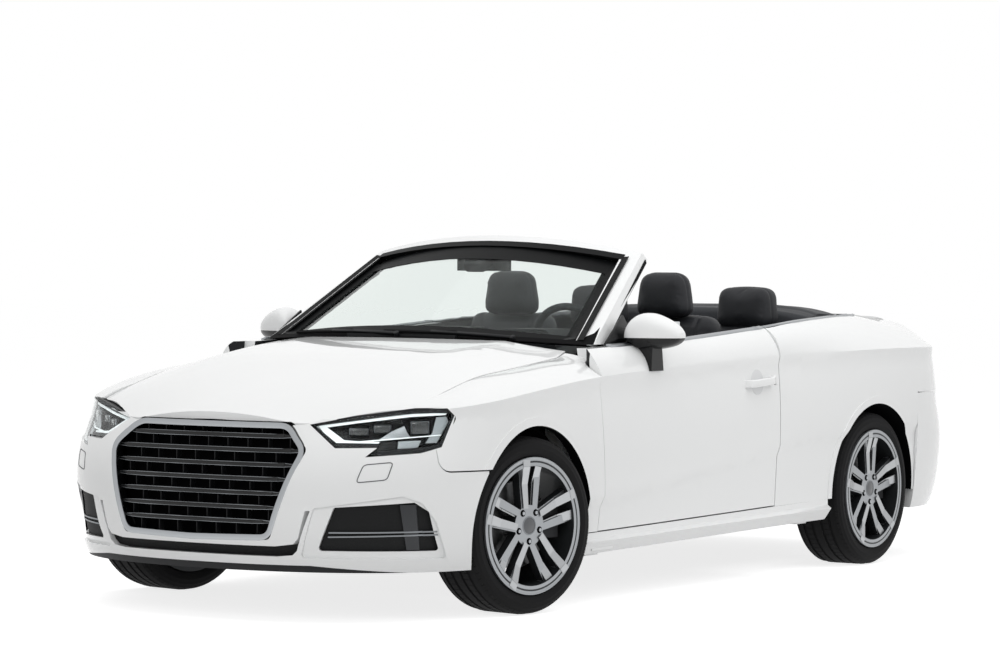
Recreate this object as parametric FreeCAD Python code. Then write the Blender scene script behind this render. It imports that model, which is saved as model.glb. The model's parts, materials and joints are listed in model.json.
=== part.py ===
"""Four-seat convertible car with its fabric top stowed, in millimetres.

The car stands on the ground plane, its nose towards -Y and its left side at +X.
The origin is on the ground under the middle of the car's length.
"""

import FreeCAD
import Part

import os
from math import cos, pi, sin

V = FreeCAD.Vector

# Overall sizes
FRONT_OVERHANG = 868.0
WHEELBASE = 2595.0
REAR_OVERHANG = 960.0
BODY_WIDTH = 1793.0
HEIGHT = 1362.0
FRONT_TRACK = 1555.0
REAR_TRACK = 1526.0

LENGTH = FRONT_OVERHANG + WHEELBASE + REAR_OVERHANG
HALF_LENGTH = LENGTH / 2
HALF_WIDTH = BODY_WIDTH / 2
FRONT_AXLE_Y = FRONT_OVERHANG - HALF_LENGTH
REAR_AXLE_Y = HALF_LENGTH - REAR_OVERHANG

# Gaps between panels, seats of fixed pieces, pins in bores, running clearances, and how far cuts run past
PANEL_GAP = 5.0
SEAT_GAP = 0.3
RUN_GAP = 0.1
MOVE_GAP = 8.0
CUT_OVERRUN = 80.0

# Wheels and tyres
TYRE_RADIUS = 318.6
TYRE_WIDTH = 225.0
RIM_RADIUS = 245.0
RIM_WELL_RADIUS = 214.0
RIM_WIDTH = 205.0
RIM_WALL = 12.0
ARCH_CLEARANCE = 37.0
REST_STEER = -10.0

ARCH_RADIUS = TYRE_RADIUS + ARCH_CLEARANCE

# Walls
PANEL_WALL = 24.0
DOOR_THICKNESS = 96.0
QUARTER_WALL = 110.0
BUMPER_WALL = 46.0
HOOD_WALL = 26.0
GLASS_WALL = 5.0


def place(shares):
    """A point from its shares of the half width, the half length and the height."""
    return V(shares[0] * HALF_WIDTH, shares[1] * HALF_LENGTH, shares[2] * HEIGHT)


def mirrored(shape):
    """The same piece for the car's right side."""
    return shape.mirror(V(0, 0, 0), V(1, 0, 0))


def block(low_shares, high_shares):
    """A box between two points given as shares."""
    low, high = place(low_shares), place(high_shares)
    return Part.makeBox(high.x - low.x, high.y - low.y, high.z - low.z, low)


def curve(points):
    """One edge through points: straight for two, else a smooth curve."""
    if len(points) == 2:
        return Part.LineSegment(points[0], points[1]).toShape()
    spline = Part.BSplineCurve()
    spline.interpolate(points)
    return spline.toShape()


def chain(runs):
    """A closed wire from runs of points, each run one edge that starts where the last ended."""
    edges = []
    for i, run in enumerate(runs):
        following = runs[(i + 1) % len(runs)]
        edges.append(curve(run + [following[0]]))
    return Part.Wire(edges)


def loft(wires, ruled=False):
    """A solid skin through closed wires, with its inside inside."""
    solid = Part.makeLoft(wires, True, ruled)
    return solid if solid.Volume > 0 else solid.reversed()


def smooth(table, at):
    """A smooth curve through (place, value) pairs, flat past its ends."""
    if at <= table[0][0]:
        return table[0][1]
    if at >= table[-1][0]:
        return table[-1][1]
    last = len(table) - 1
    slopes = []
    for i in range(len(table)):
        before, after = table[max(i - 1, 0)], table[min(i + 1, last)]
        slopes.append((after[1] - before[1]) / (after[0] - before[0]))
    i = max(k for k in range(last) if table[k][0] <= at)
    (start, low), (end, high) = table[i], table[i + 1]
    span = end - start
    t = (at - start) / span
    ends = (1 + 2 * t) * (1 - t) ** 2 * low + t * t * (3 - 2 * t) * high
    return ends + (t * (1 - t) ** 2 * slopes[i] + t * t * (t - 1) * slopes[i + 1]) * span


def height_at(table, y):
    """Reads a table of (share of the half length, share of the height) at a place y."""
    return smooth(table, y / HALF_LENGTH) * HEIGHT


def spread(low, high, count):
    """Evenly spaced values from low to high."""
    return [low + (high - low) * i / (count - 1) for i in range(count)]


# Body shape: plan rounding of the nose and tail
NOSE_START_SHARE = -0.678
TAIL_START_SHARE = 0.656
NOSE_POWER_SHARE = 2.3
TAIL_POWER_SHARE = 3.6
NOSE_REACH_SHARES = (
    (0.12, 0.298), (0.17, 0.3095), (0.215, 0.3190), (0.31, 0.322), (0.38, 0.3170), (0.44, 0.300),
    (0.485, 0.277), (0.515, 0.262), (0.545, 0.254), (0.60, 0.240))
TAIL_REACH_SHARES = (
    (0.14, 0.300), (0.20, 0.328), (0.27, 0.341), (0.345, 0.344), (0.42, 0.338), (0.46, 0.324),
    (0.52, 0.313), (0.60, 0.303), (0.66, 0.295), (0.72, 0.287), (0.76, 0.278))

# Body shape: half width at each height, as shares of the half width
SIDE_SHARES = (
    (0.13, 0.940), (0.19, 0.965), (0.27, 0.980), (0.36, 0.990), (0.45, 0.992), (0.55, 0.990),
    (0.62, 0.985), (0.66, 0.975), (0.70, 0.940), (0.76, 0.900))

# Body shape: heights along the car
SHOULDER_SHARES = (
    (-0.95, 0.500), (-0.89, 0.520), (-0.81, 0.546), (-0.654, 0.578), (-0.41, 0.616), (-0.121, 0.634),
    (0.19, 0.651), (0.463, 0.659), (0.695, 0.662), (0.95, 0.658))
CREASE_SHARES = (
    (-0.80, 0.250), (-0.40, 0.262), (0.0, 0.325), (0.163, 0.352), (0.29, 0.380), (0.95, 0.400))
HOOD_EDGE_SHARES = (
    (-0.955, 0.430), (-0.921, 0.4665), (-0.882, 0.504), (-0.845, 0.534), (-0.832, 0.5435), (-0.80, 0.561),
    (-0.74, 0.588), (-0.665, 0.618), (-0.53, 0.643), (-0.416, 0.666), (-0.361, 0.690))
HOOD_RIDGE_SHARES = (
    (-0.955, 0.497), (-0.925, 0.514), (-0.88, 0.545), (-0.832, 0.572), (-0.793, 0.596), (-0.66, 0.655),
    (-0.52, 0.690), (-0.42, 0.706), (-0.36, 0.712))
HOOD_CENTRE_SHARES = (
    (-0.945, 0.525), (-0.925, 0.540), (-0.88, 0.570), (-0.793, 0.613), (-0.66, 0.670), (-0.52, 0.699),
    (-0.42, 0.713), (-0.36, 0.724))
HOOD_EDGE_X_SHARE = 0.776
HOOD_RIDGE_X_SHARES = ((-0.925, 0.36), (-0.80, 0.50), (-0.60, 0.55), (-0.36, 0.50))
BELT_SHARES = (
    (-0.42, 0.688), (-0.39, 0.690), (-0.111, 0.703), (0.16, 0.729), (0.343, 0.747), (0.649, 0.760),
    (0.80, 0.752), (0.95, 0.728))
BELT_X_SHARES = (
    (-0.42, 0.920), (-0.39, 0.908), (-0.111, 0.917), (0.16, 0.914), (0.343, 0.868), (0.50, 0.790),
    (0.649, 0.714), (0.75, 0.640), (0.80, 0.606), (0.95, 0.606))
DECK_SHARES = (
    (0.60, 0.762), (0.70, 0.770), (0.782, 0.766), (0.90, 0.752), (0.925, 0.747), (0.95, 0.739))
SHOULDER_X_SHARE = 0.989
UNDER_SHOULDER_X_SHARE = 0.981
FLANK_X_SHARE = 0.993
CREASE_X_SHARE = 0.993
UNDER_CREASE_X_SHARE = 0.976
SILL_X_SHARE = 0.966
SKIRT_X_SHARE = 0.985
SKIRT_LOW_X_SHARE = 0.950
SHOULDER_BAND = 36.0
CREASE_BAND = 44.0
SKIRT_BAND = 46.0
SILL_TOP_SHARES = ((-0.80, 0.193), (-0.45, 0.195), (0.0, 0.206), (0.37, 0.216), (0.95, 0.22))
SILL_LOW_SHARES = ((-0.80, 0.135), (-0.459, 0.137), (0.37, 0.155), (0.95, 0.160))
NOSE_START = NOSE_START_SHARE * HALF_LENGTH
TAIL_START = TAIL_START_SHARE * HALF_LENGTH


def plan_narrowing(y, z):
    """How much of the full width is left at a place y, at a height z."""
    if y < NOSE_START:
        reach = smooth(NOSE_REACH_SHARES, z / HEIGHT) * HALF_LENGTH
        past = (NOSE_START - y) / reach
        power = NOSE_POWER_SHARE
    elif y > TAIL_START:
        reach = smooth(TAIL_REACH_SHARES, z / HEIGHT) * HALF_LENGTH
        past = (y - TAIL_START) / reach
        power = TAIL_POWER_SHARE
    else:
        return 1.0
    return max(1 - min(past, 1) ** power, 0) ** (1 / power)


def side_point(x_share, y, z, inset=0):
    """A point of the flank at a place and height, or inside it by an inset."""
    return V(x_share * HALF_WIDTH * plan_narrowing(y, z) - inset, y, z)


def flank_runs(y, low, top_point, wall, bulge_by, top_wall):
    """The closed outline of a side panel at a place y, from its foot up to its top point."""
    shoulder = height_at(SHOULDER_SHARES, y)
    crease = height_at(CREASE_SHARES, y)
    under = shoulder - SHOULDER_BAND
    over = crease + CREASE_BAND
    middle = (under + over) / 2
    bottom = side_point(SILL_X_SHARE, y, low)
    crest = side_point(SHOULDER_X_SHARE, y, shoulder)
    top = top_point
    bulge = V((crest.x + top.x) / 2, y, (crest.z + top.z) / 2) + V(bulge_by, 0, bulge_by)
    return [
        [bottom],
        [side_point(UNDER_CREASE_X_SHARE, y, crease)],
        [side_point(CREASE_X_SHARE, y, over), side_point(FLANK_X_SHARE, y, middle)],
        [side_point(UNDER_SHOULDER_X_SHARE, y, under)],
        [crest, bulge],
        [top],
        [top - V(top_wall, 0, 0 if top_wall else wall)],
        [V(crest.x - wall, y, min(shoulder, top.z) - 1.5 * wall)],
        [V(bottom.x - wall, y, low)],
    ]


def side_panel(start, end, low_at, top_at, wall, count, bulge_by, top_wall=0):
    """A side panel along the car between two places, with its top and foot given by functions."""
    wires = []
    for y in spread(start, end, count):
        wires.append(chain(flank_runs(y, low_at(y), top_at(y), wall, bulge_by, top_wall)))
    return loft(wires)


PLAN_STEPS = 25


def plan_outline(z, inset, start, table, power):
    """Points of the plan outline at a height, from the right side round the end to the left side."""
    forward = 1 if start > 0 else -1
    width = smooth(SIDE_SHARES, z / HEIGHT) * HALF_WIDTH - inset
    reach = smooth(table, z / HEIGHT) * HALF_LENGTH - inset
    points = []
    for turn in spread(-pi / 2, pi / 2, PLAN_STEPS):
        side = 1 if turn >= 0 else -1
        x = side * width * abs(sin(turn)) ** (2 / power)
        points.append(V(x, start + forward * reach * abs(cos(turn)) ** (2 / power), z))
    return points


def wrap(low, high, outer, inner, form, count=7):
    """The wrap of a bumper between two heights and two insets of the plan outline."""
    wires = []
    for z in spread(low, high, count):
        outside = plan_outline(z, outer, *form)
        inside = plan_outline(z, inner, *form)[::-1]
        wires.append(chain([outside[:-1], [outside[-1]], inside[:-1], [inside[-1]]]))
    return loft(wires)


def prism(points, direction):
    """A solid that carries a closed outline of points along a direction."""
    return Part.Face(Part.makePolygon(points + [points[0]])).extrude(direction)


def grown(points, amount):
    """A closed flat outline of points moved outwards by an amount."""
    wire = Part.makePolygon(points + [points[0]])
    return Part.Face(wire.makeOffset2D(amount, 2)) if amount else Part.Face(wire)


def arch_cut(axle_y, radius):
    """The round hole of the wheel arches, from the centre of the car out on both sides."""
    return Part.makeCylinder(radius, BODY_WIDTH + 2 * CUT_OVERRUN,
                             V(-HALF_WIDTH - CUT_OVERRUN, axle_y, TYRE_RADIUS), V(1, 0, 0))


# Shut lines
HOOD_OUTLINE_SHARES = (
    (0.0, -0.944), (0.25, -0.938), (0.451, -0.921), (0.582, -0.882), (0.776, -0.832), (0.776, -0.64),
    (0.780, -0.420), (0.757, -0.379), (0.50, -0.4147), (0.25, -0.4346), (0.0, -0.4413))
LAMP_OUTLINE_SHARES = (
    (0.4618, -0.9245, 0.5037), (0.6180, -0.8946, 0.5257), (0.8109, -0.8427, 0.5433), (0.8924, -0.8075, 0.5455),
    (0.9091, -0.8005, 0.5300), (0.8957, -0.8260, 0.4545), (0.8511, -0.8545, 0.4405), (0.7061, -0.9097, 0.4317),
    (0.7351, -0.8942, 0.4545), (0.5811, -0.9307, 0.4523))
LAMP_FACING = V(0.62, -0.7846, 0)
GRILLE_OUTLINE_SHARES = (
    (0.372, 0.508), (0.482, 0.443), (0.360, 0.214), (0.0, 0.209))
BUMPER_EDGE_SHARES = (-0.741, 0.390)
BUMPER_CORNER = 40.0
MITRE_LEAST_SHARE = 0.4


def moved_out(points, amount):
    """Points of a closed outline in plan, run counter-clockwise, each moved out along its normal."""
    moved = []
    for i, point in enumerate(points):
        before, after = points[i - 1], points[(i + 1) % len(points)]
        first = (point - before).normalize()
        second = (after - point).normalize()
        normal = V(first.y + second.y, -first.x - second.x, 0).normalize()
        reach = amount / max(normal.dot(V(first.y, -first.x, 0)), MITRE_LEAST_SHARE)
        moved.append(point + normal * reach)
    return moved


def hood_prism(growth):
    """The space above and below the hood's outline."""
    half = [V(x * HALF_WIDTH, y * HALF_LENGTH, 0) for x, y in HOOD_OUTLINE_SHARES]
    far = [V(-p.x, p.y, 0) for p in half[-2:0:-1]]
    loop = moved_out(half + far, growth)
    count = len(loop)
    front, side, corner = 4, 6, 7
    runs = [loop[-front:] + loop[:front], loop[front:side], loop[side:corner],
            loop[corner:count - corner], loop[count - corner:count - side],
            loop[count - side:count - front]]
    return Part.Face(chain(runs)).extrude(V(0, 0, HEIGHT))


def grille_points():
    """The six-sided outline of the grille, seen from the front."""
    half = [V(x * HALF_WIDTH, -HALF_LENGTH - CUT_OVERRUN, z * HEIGHT) for x, z in GRILLE_OUTLINE_SHARES]
    return [V(-p.x, p.y, p.z) for p in half[2::-1]] + half[:3]


def grille_prism(growth):
    """The space of the grille opening, carried back into the car."""
    room = grown(grille_points(), growth).extrude(V(0, HALF_LENGTH, 0))
    return rounded(room, V(0, 1, 0), GRILLE_ROUND + growth)


# Windscreen: the bottom and top corners and middles of its outer surface
SCREEN_LOW_CORNER_SHARES = (0.846, -0.3486, 0.696)
SCREEN_LOW_MIDDLE_SHARES = (0.0, -0.425, 0.7137)
SCREEN_HIGH_CORNER_SHARES = (0.692, -0.0904, 0.951)
SCREEN_HIGH_MIDDLE_SHARES = (0.0, -0.135, 0.9985)
SCREEN_FRAME_WALL = 42.0
PILLAR_WIDTH = 66.0
HEADER_RISE_SHARE = 0.90
SCREEN_FOOT_SHARE = 0.04
SCREEN_BACK = V(0, 0.45, -0.893)


def screen_arc(rise, narrower, depth):
    """The arc across the windscreen at a share of its rise, narrowed and sunk by lengths."""
    corner = place(SCREEN_LOW_CORNER_SHARES) * (1 - rise) + place(SCREEN_HIGH_CORNER_SHARES) * rise
    middle = place(SCREEN_LOW_MIDDLE_SHARES) * (1 - rise) + place(SCREEN_HIGH_MIDDLE_SHARES) * rise
    back = V(0, corner.y - middle.y, corner.z - middle.z).normalize()
    sunk = back * (depth / back.dot(SCREEN_BACK))
    left = V(corner.x - narrower, corner.y, corner.z) + sunk
    return V(-left.x, left.y, left.z), middle + sunk, left


def screen_slab(low, high, narrower, near, far):
    """A curved slab of the windscreen between two shares of its rise and two depths."""
    wires = []
    for rise in (low, high):
        right, middle, left = screen_arc(rise, narrower, near)
        right_in, middle_in, left_in = screen_arc(rise, narrower, far)
        wires.append(chain([[right, middle], [left], [left_in, middle_in], [right_in]]))
    return loft(wires, True)


PILLAR_FOOT_SHARE = -0.33
DOOR_TOP_WALL = 70.0


def windscreen_frame():
    """Screen pillars and header, joined across the foot of the glass."""
    outer = screen_slab(0, 1, 0, 0, SCREEN_FRAME_WALL)
    window = screen_slab(SCREEN_FOOT_SHARE, HEADER_RISE_SHARE, PILLAR_WIDTH, -CUT_OVERRUN,
                         SCREEN_FRAME_WALL + CUT_OVERRUN)
    inner = BELT_X_SHARES[1][1] * HALF_WIDTH - DOOR_TOP_WALL - MOVE_GAP
    belt = height_at(BELT_SHARES, PILLAR_FOOT_SHARE * HALF_LENGTH) + MOVE_GAP
    beside = Part.makeBox(HALF_WIDTH, HALF_LENGTH, belt, V(inner, -HALF_LENGTH, 0))
    return outer.cut(window).cut(both(beside))


SCREEN_SEAT_SHARE = 0.0006


def windscreen_glass():
    """The curved pane, seated just inside the frame's opening."""
    seat = PILLAR_WIDTH + SEAT_GAP
    return screen_slab(SCREEN_FOOT_SHARE + SCREEN_SEAT_SHARE, HEADER_RISE_SHARE - SCREEN_SEAT_SHARE, seat,
                       GLASS_WALL, 2 * GLASS_WALL)


HOOD_PIVOT_SHARES = (0.700, -0.3775, 0.672)
EAR_RADIUS = 12.0
EAR_WALL = 10.0
EAR_REACH = 44.0
HOOD_CROWN_SHARE = 0.74
HOOD_SLOPE_SHARE = 0.55


def hood():
    """The hood: a crowned skin with a ridge on each side, cut to its shut line."""
    wires = []
    for y_share in spread(-0.955, -0.352, 9):
        y = y_share * HALF_LENGTH
        edge = V(HOOD_EDGE_X_SHARE * HALF_WIDTH + MOVE_GAP, y, height_at(HOOD_EDGE_SHARES, y))
        ridge = V(smooth(HOOD_RIDGE_X_SHARES, y_share) * HALF_WIDTH, y, height_at(HOOD_RIDGE_SHARES, y))
        middle = V(0, y, height_at(HOOD_CENTRE_SHARES, y))
        inner = V(ridge.x / 2, y, ridge.z + (middle.z - ridge.z) * HOOD_CROWN_SHARE)
        outer = V((edge.x + ridge.x) / 2, y, edge.z + (ridge.z - edge.z) * HOOD_SLOPE_SHARE)
        half = [edge, outer, ridge, inner]
        far = [V(-p.x, p.y, p.z) for p in half]
        down = V(0, 0, -HOOD_WALL)
        wires.append(chain([
            [edge, outer], [ridge, inner, middle, far[3]], [far[2], far[1]], [far[0]],
            [far[0] + down, far[1] + down], [far[2] + down, far[3] + down, middle + down, inner + down],
            [ridge + down, outer + down], [edge + down]]))
    lamps = both(facing_prism(LAMP_OUTLINE_SHARES, LAMP_FACING, PANEL_GAP))
    skin = loft(wires).common(hood_prism(0)).cut(lamps).cut(grille_prism(PANEL_GAP))
    pivot = place(HOOD_PIVOT_SHARES)
    ear = Part.makeCylinder(EAR_RADIUS, EAR_WALL, pivot, V(1, 0, 0))
    root = Part.makeBox(EAR_WALL, EAR_REACH, 2 * EAR_RADIUS, pivot - V(0, EAR_REACH, EAR_RADIUS))
    bore = Part.makeCylinder(PIN_RADIUS + RUN_GAP, EAR_WALL, pivot, V(1, 0, 0))
    ear = ear.fuse(root).cut(bore)
    return skin.fuse(both(ear))


def hood_edge_top(y):
    """Top of the fender beside the hood's shut line."""
    reach = HOOD_EDGE_X_SHARE * HALF_WIDTH
    return V(min(reach, plan_narrowing(y, height_at(HOOD_EDGE_SHARES, y)) * reach), y,
             height_at(HOOD_EDGE_SHARES, y))


HINGE_NOSE = 70.0
HINGE_TILT_SHARE = 0.396
HINGE_INSET = 30.0
HINGE_X = SHOULDER_X_SHARE * HALF_WIDTH - HINGE_INSET


def hinge_nose(growth):
    """The rounded front end of the left door about its hinge line, narrower at its foot."""
    low = HINGE_NOSE * HINGE_TILT_SHARE + growth
    high = HINGE_NOSE + growth
    return Part.makeCone(low, high, HEIGHT, V(HINGE_X, HINGE_Y, 0), V(0, 0, 1))


FRONT_ARCH = arch_cut(FRONT_AXLE_Y, ARCH_RADIUS)
FENDER_FRONT_SHARE = -0.832
FENDER_LOW_SHARE = 0.198
DOOR_FRONT_SHARE = -0.409
HINGE_SETBACK = 38.0
HINGE_Y = DOOR_FRONT_SHARE * HALF_LENGTH + HINGE_SETBACK
FENDER_BULGE = 14.0


def fender():
    """The left front fender, open at the wheel, the lamp and the hood."""
    start = FENDER_FRONT_SHARE * HALF_LENGTH
    end = DOOR_FRONT_SHARE * HALF_LENGTH + HINGE_SETBACK
    body = side_panel(start, end, lambda y: FENDER_LOW_SHARE * HEIGHT, hood_edge_top, PANEL_WALL, 8,
                      FENDER_BULGE)
    body = body.cut(FRONT_ARCH).cut(hood_prism(PANEL_GAP)).cut(hinge_nose(PANEL_GAP))
    body = body.cut(facing_prism(LAMP_OUTLINE_SHARES, LAMP_FACING, PANEL_GAP))
    beside = Part.makeBox(HALF_WIDTH, HALF_LENGTH, HEIGHT, V(0, HINGE_Y, 0))
    body = body.cut(beside)
    ahead = Part.makeBox(BODY_WIDTH, HALF_LENGTH, HEIGHT, V(-HALF_WIDTH, FRONT_AXLE_Y - HALF_LENGTH, 0))
    body = body.cut(ahead.cut(fender_space(0)))
    return body.fuse(arch_lip(body, FRONT_AXLE_Y))


def fender_space(growth):
    """The space of the two fenders' front ends, with a rounded lower corner."""
    low = V(-HALF_WIDTH, FENDER_FRONT_SHARE * HALF_LENGTH - growth, BUMPER_EDGE_SHARES[1] * HEIGHT - growth)
    room = Part.makeBox(BODY_WIDTH, HALF_LENGTH, HEIGHT, low)
    corners = []
    for edge in room.Edges:
        middle = edge.CenterOfMass
        if middle.y < low.y + PANEL_GAP and middle.z < low.z + PANEL_GAP:
            corners.append(edge)
    return room.makeFillet(BUMPER_CORNER + growth, corners)


ARCH_LIP = 3.0
ARCH_LIP_BAND = 30.0


def arch_lip(panel, axle_y):
    """The raised lip of a left panel round its wheel arch."""
    inner = Part.makeCylinder(ARCH_RADIUS + ARCH_LIP_BAND, BODY_WIDTH, V(0, axle_y, TYRE_RADIUS), V(1, 0, 0))
    raised = panel.copy()
    raised.translate(V(ARCH_LIP, 0, 0))
    return raised.common(inner)


def door_top(y):
    """Top of the door's skin along the belt."""
    return V(smooth(BELT_X_SHARES, y / HALF_LENGTH) * HALF_WIDTH, y, height_at(BELT_SHARES, y))


DOOR_REAR_SHARE = 0.190
DOOR_BULGE = 8.0


def door():
    """The left door: a thick slab with a rounded front end about its hinge line."""
    front = DOOR_FRONT_SHARE * HALF_LENGTH
    rear = DOOR_REAR_SHARE * HALF_LENGTH
    slab = side_panel(front - HINGE_SETBACK, rear, lambda y: height_at(SILL_TOP_SHARES, y) + PANEL_GAP,
                      door_top, DOOR_THICKNESS, 8, DOOR_BULGE, DOOR_TOP_WALL)
    beside = Part.makeBox(HALF_WIDTH, HALF_LENGTH, HEIGHT, V(0, HINGE_Y, 0))
    swing = Part.makeCylinder(rear - HINGE_Y, HEIGHT, V(HINGE_X, HINGE_Y, 0))
    return slab.common(beside.fuse(hinge_nose(0))).common(swing)


# Front bumper and what it holds
BUMPER_LOW_SHARE = 0.132
BUMPER_TOP_SHARE = 0.520
GRILLE_INSET = 5.0
GRILLE_DEPTH = 40.0
GRILLE_FRAME = 16.0
SLAT_HEIGHT = 22.0
SLAT_COUNT = 7
LAMP_INSET = 8.0
LAMP_DEPTH = 110.0
LENS_WALL = 4.0
INTAKE_OUTLINE_SHARES = (
    (0.6035, -0.9492, 0.2996), (0.8433, -0.8685, 0.3120), (0.8756, -0.8482, 0.2878), (0.8846, -0.8260, 0.1872),
    (0.5354, -0.9533, 0.1887))
RECESS_OUTLINE_SHARES = (
    (0.5332, -0.9626, 0.2974), (0.8154, -0.8822, 0.3289), (0.8634, -0.8575, 0.3113), (0.8950, -0.8370, 0.2621),
    (0.9060, -0.8150, 0.1680), (0.4730, -0.9627, 0.1700))
LOWER_SLOT_SHARES = (
    (0.379, 0.1718), (0.443, 0.1762), (0.463, 0.188), (0.522, 0.2907), (0.5042, 0.2907), (0.473, 0.2203),
    (0.452, 0.2048), (0.379, 0.1982))
INTAKE_FACING = V(0.35, -0.9367, 0)
INTAKE_ROUND = 10.0
RECESS_ROUND = 12.0
RECESS_DEPTH = 10.0
GRILLE_ROUND = 24.0


def facing_face(outline_shares, facing, growth):
    """A flat face of an outline, seen the way that the piece faces."""
    across = V(-facing.y, facing.x, 0)
    points = []
    for shares in outline_shares:
        spot = place(shares)
        points.append(across * spot.dot(across) + V(0, 0, spot.z) + facing * (HALF_LENGTH / 2))
    return grown(points, growth)


def facing_prism(outline_shares, facing, growth):
    """The space of an outline, carried the way that the piece faces."""
    return facing_face(outline_shares, facing, growth).extrude(facing * HALF_LENGTH)


ALONG_SHARE = 0.99


def rounded(room, direction, radius):
    """A prism with the edges that run along a direction rounded."""
    edges = []
    for edge in room.Edges:
        run = edge.Vertexes[-1].Point - edge.Vertexes[0].Point
        if abs(run.dot(direction)) > run.Length * ALONG_SHARE:
            edges.append(edge)
    return room.makeFillet(radius, edges)


def rounded_prism(outline_shares, facing, growth, radius):
    """The space of an outline with rounded corners, carried the way that the piece faces."""
    return rounded(facing_prism(outline_shares, facing, growth), facing, radius)


def intake_prism(growth):
    """The space of the left side intake."""
    return rounded_prism(INTAKE_OUTLINE_SHARES, INTAKE_FACING, growth, INTAKE_ROUND)


def both(shape):
    """A left piece and its mirror image as one."""
    return shape.fuse(mirrored(shape))


def largest(shape):
    """The biggest solid of a shape that a cut has split."""
    return max(shape.Solids, key=lambda piece: piece.Volume)


def pair(shape):
    """A left piece and its mirror image as two solids of one node."""
    return Part.makeCompound([shape, mirrored(shape)])


def lower_slot(growth):
    """The slot below the grille, turned up at both ends."""
    half = [V(x * HALF_WIDTH, -HALF_LENGTH - CUT_OVERRUN, z * HEIGHT) for x, z in LOWER_SLOT_SHARES]
    outline = [V(-p.x, p.y, p.z) for p in half[::-1]] + half
    return grown(outline, growth).extrude(V(0, HALF_LENGTH / 2, 0))


NOSE_FORM = (NOSE_START, NOSE_REACH_SHARES, NOSE_POWER_SHARE)


def front_bumper():
    """The wrap of the nose, with its openings."""
    shell = wrap(BUMPER_LOW_SHARE * HEIGHT, BUMPER_TOP_SHARE * HEIGHT, 0, BUMPER_WALL, NOSE_FORM)
    behind = Part.makeBox(BODY_WIDTH, HALF_LENGTH, HEIGHT,
                          V(-HALF_WIDTH, BUMPER_EDGE_SHARES[0] * HALF_LENGTH, 0))
    shell = shell.cut(behind).cut(fender_space(PANEL_GAP)).cut(FRONT_ARCH).cut(hood_prism(PANEL_GAP))
    shell = shell.cut(both(facing_prism(LAMP_OUTLINE_SHARES, LAMP_FACING, PANEL_GAP)))
    skin = wrap(BUMPER_LOW_SHARE * HEIGHT, BUMPER_EDGE_SHARES[1] * HEIGHT, -PANEL_GAP, RECESS_DEPTH, NOSE_FORM)
    recess = skin.common(rounded_prism(RECESS_OUTLINE_SHARES, INTAKE_FACING, 0, RECESS_ROUND))
    shell = shell.cut(both(recess)).cut(both(intake_prism(0)))
    return shell.cut(grille_prism(0)).cut(lower_slot(0))


def grille():
    """The main grille: a frame with slats across it, on the curve of the nose."""
    high, low = GRILLE_OUTLINE_SHARES[0][1] * HEIGHT, GRILLE_OUTLINE_SHARES[-1][1] * HEIGHT
    deep = GRILLE_INSET + GRILLE_DEPTH
    slab = wrap(low - CUT_OVERRUN / 4, high + CUT_OVERRUN / 4, GRILLE_INSET, deep, NOSE_FORM, 4)
    body = slab.common(grille_prism(-SEAT_GAP))
    room = grille_prism(-GRILLE_FRAME)
    pitch = (high - low - 2 * GRILLE_FRAME + SLAT_HEIGHT) / (SLAT_COUNT + 1)
    for i in range(SLAT_COUNT + 1):
        slot = Part.makeBox(BODY_WIDTH, HALF_LENGTH, pitch - SLAT_HEIGHT,
                            V(-HALF_WIDTH, -HALF_LENGTH - CUT_OVERRUN, low + GRILLE_FRAME + i * pitch))
        body = body.cut(slot.common(room))
    return body


def lower_grilles():
    """The slot's grid and the inserts of the two side intakes."""
    deep = BUMPER_WALL - SEAT_GAP
    slot = wrap(BUMPER_LOW_SHARE * HEIGHT, BUMPER_EDGE_SHARES[1] * HEIGHT, BUMPER_WALL / 2, deep, NOSE_FORM)
    side = slot.common(intake_prism(-SEAT_GAP))
    return Part.makeCompound([slot.common(lower_slot(-SEAT_GAP)), side, mirrored(side)])


def headlamp_body(near, far, growth):
    """A slice of the nose between two depths inside the lamp's outline."""
    low = LAMP_OUTLINE_SHARES[7][2] * HEIGHT - CUT_OVERRUN
    slab = wrap(low, BUMPER_TOP_SHARE * HEIGHT + CUT_OVERRUN, near, far, NOSE_FORM)
    return slab.common(facing_prism(LAMP_OUTLINE_SHARES, LAMP_FACING, growth))


def headlamps():
    """The two lamp housings."""
    body = headlamp_body(LAMP_INSET + LENS_WALL + SEAT_GAP, LAMP_DEPTH, 0)
    return pair(body.cut(headlamp_body(0, LAMP_INSET + LENS_WALL, 0)))


def headlamp_lenses():
    """The clear covers of the two headlamps."""
    return pair(headlamp_body(LAMP_INSET, LAMP_INSET + LENS_WALL, 0))


# Rear quarters, boot lid and rear bumper
QUARTER_END_SHARE = 0.925
LID_FRONT_SHARE = 0.770
LID_HALF_SHARE = 0.600
LID_WALL = 22.0
LID_LOW_SHARE = 0.530
REAR_BUMPER_TOP_SHARE = 0.520
REAR_BUMPER_LOW_SHARE = 0.160
REAR_BUMPER_FRONT_SHARE = 0.735
LAMP_LOW_SHARE = 0.565
LAMP_HIGH_SHARE = 0.655
TAIL_LAMP_X_SHARE = 0.610
TAIL_LAMP_FRONT_SHARE = 0.870
TAIL_LAMP_DEPTH = 60.0
LID_SECTIONS = 7
LID_DROP = 46.0
LID_CORNER_SHARE = 1.6
LID_LIP_SHARE = 0.726


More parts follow.
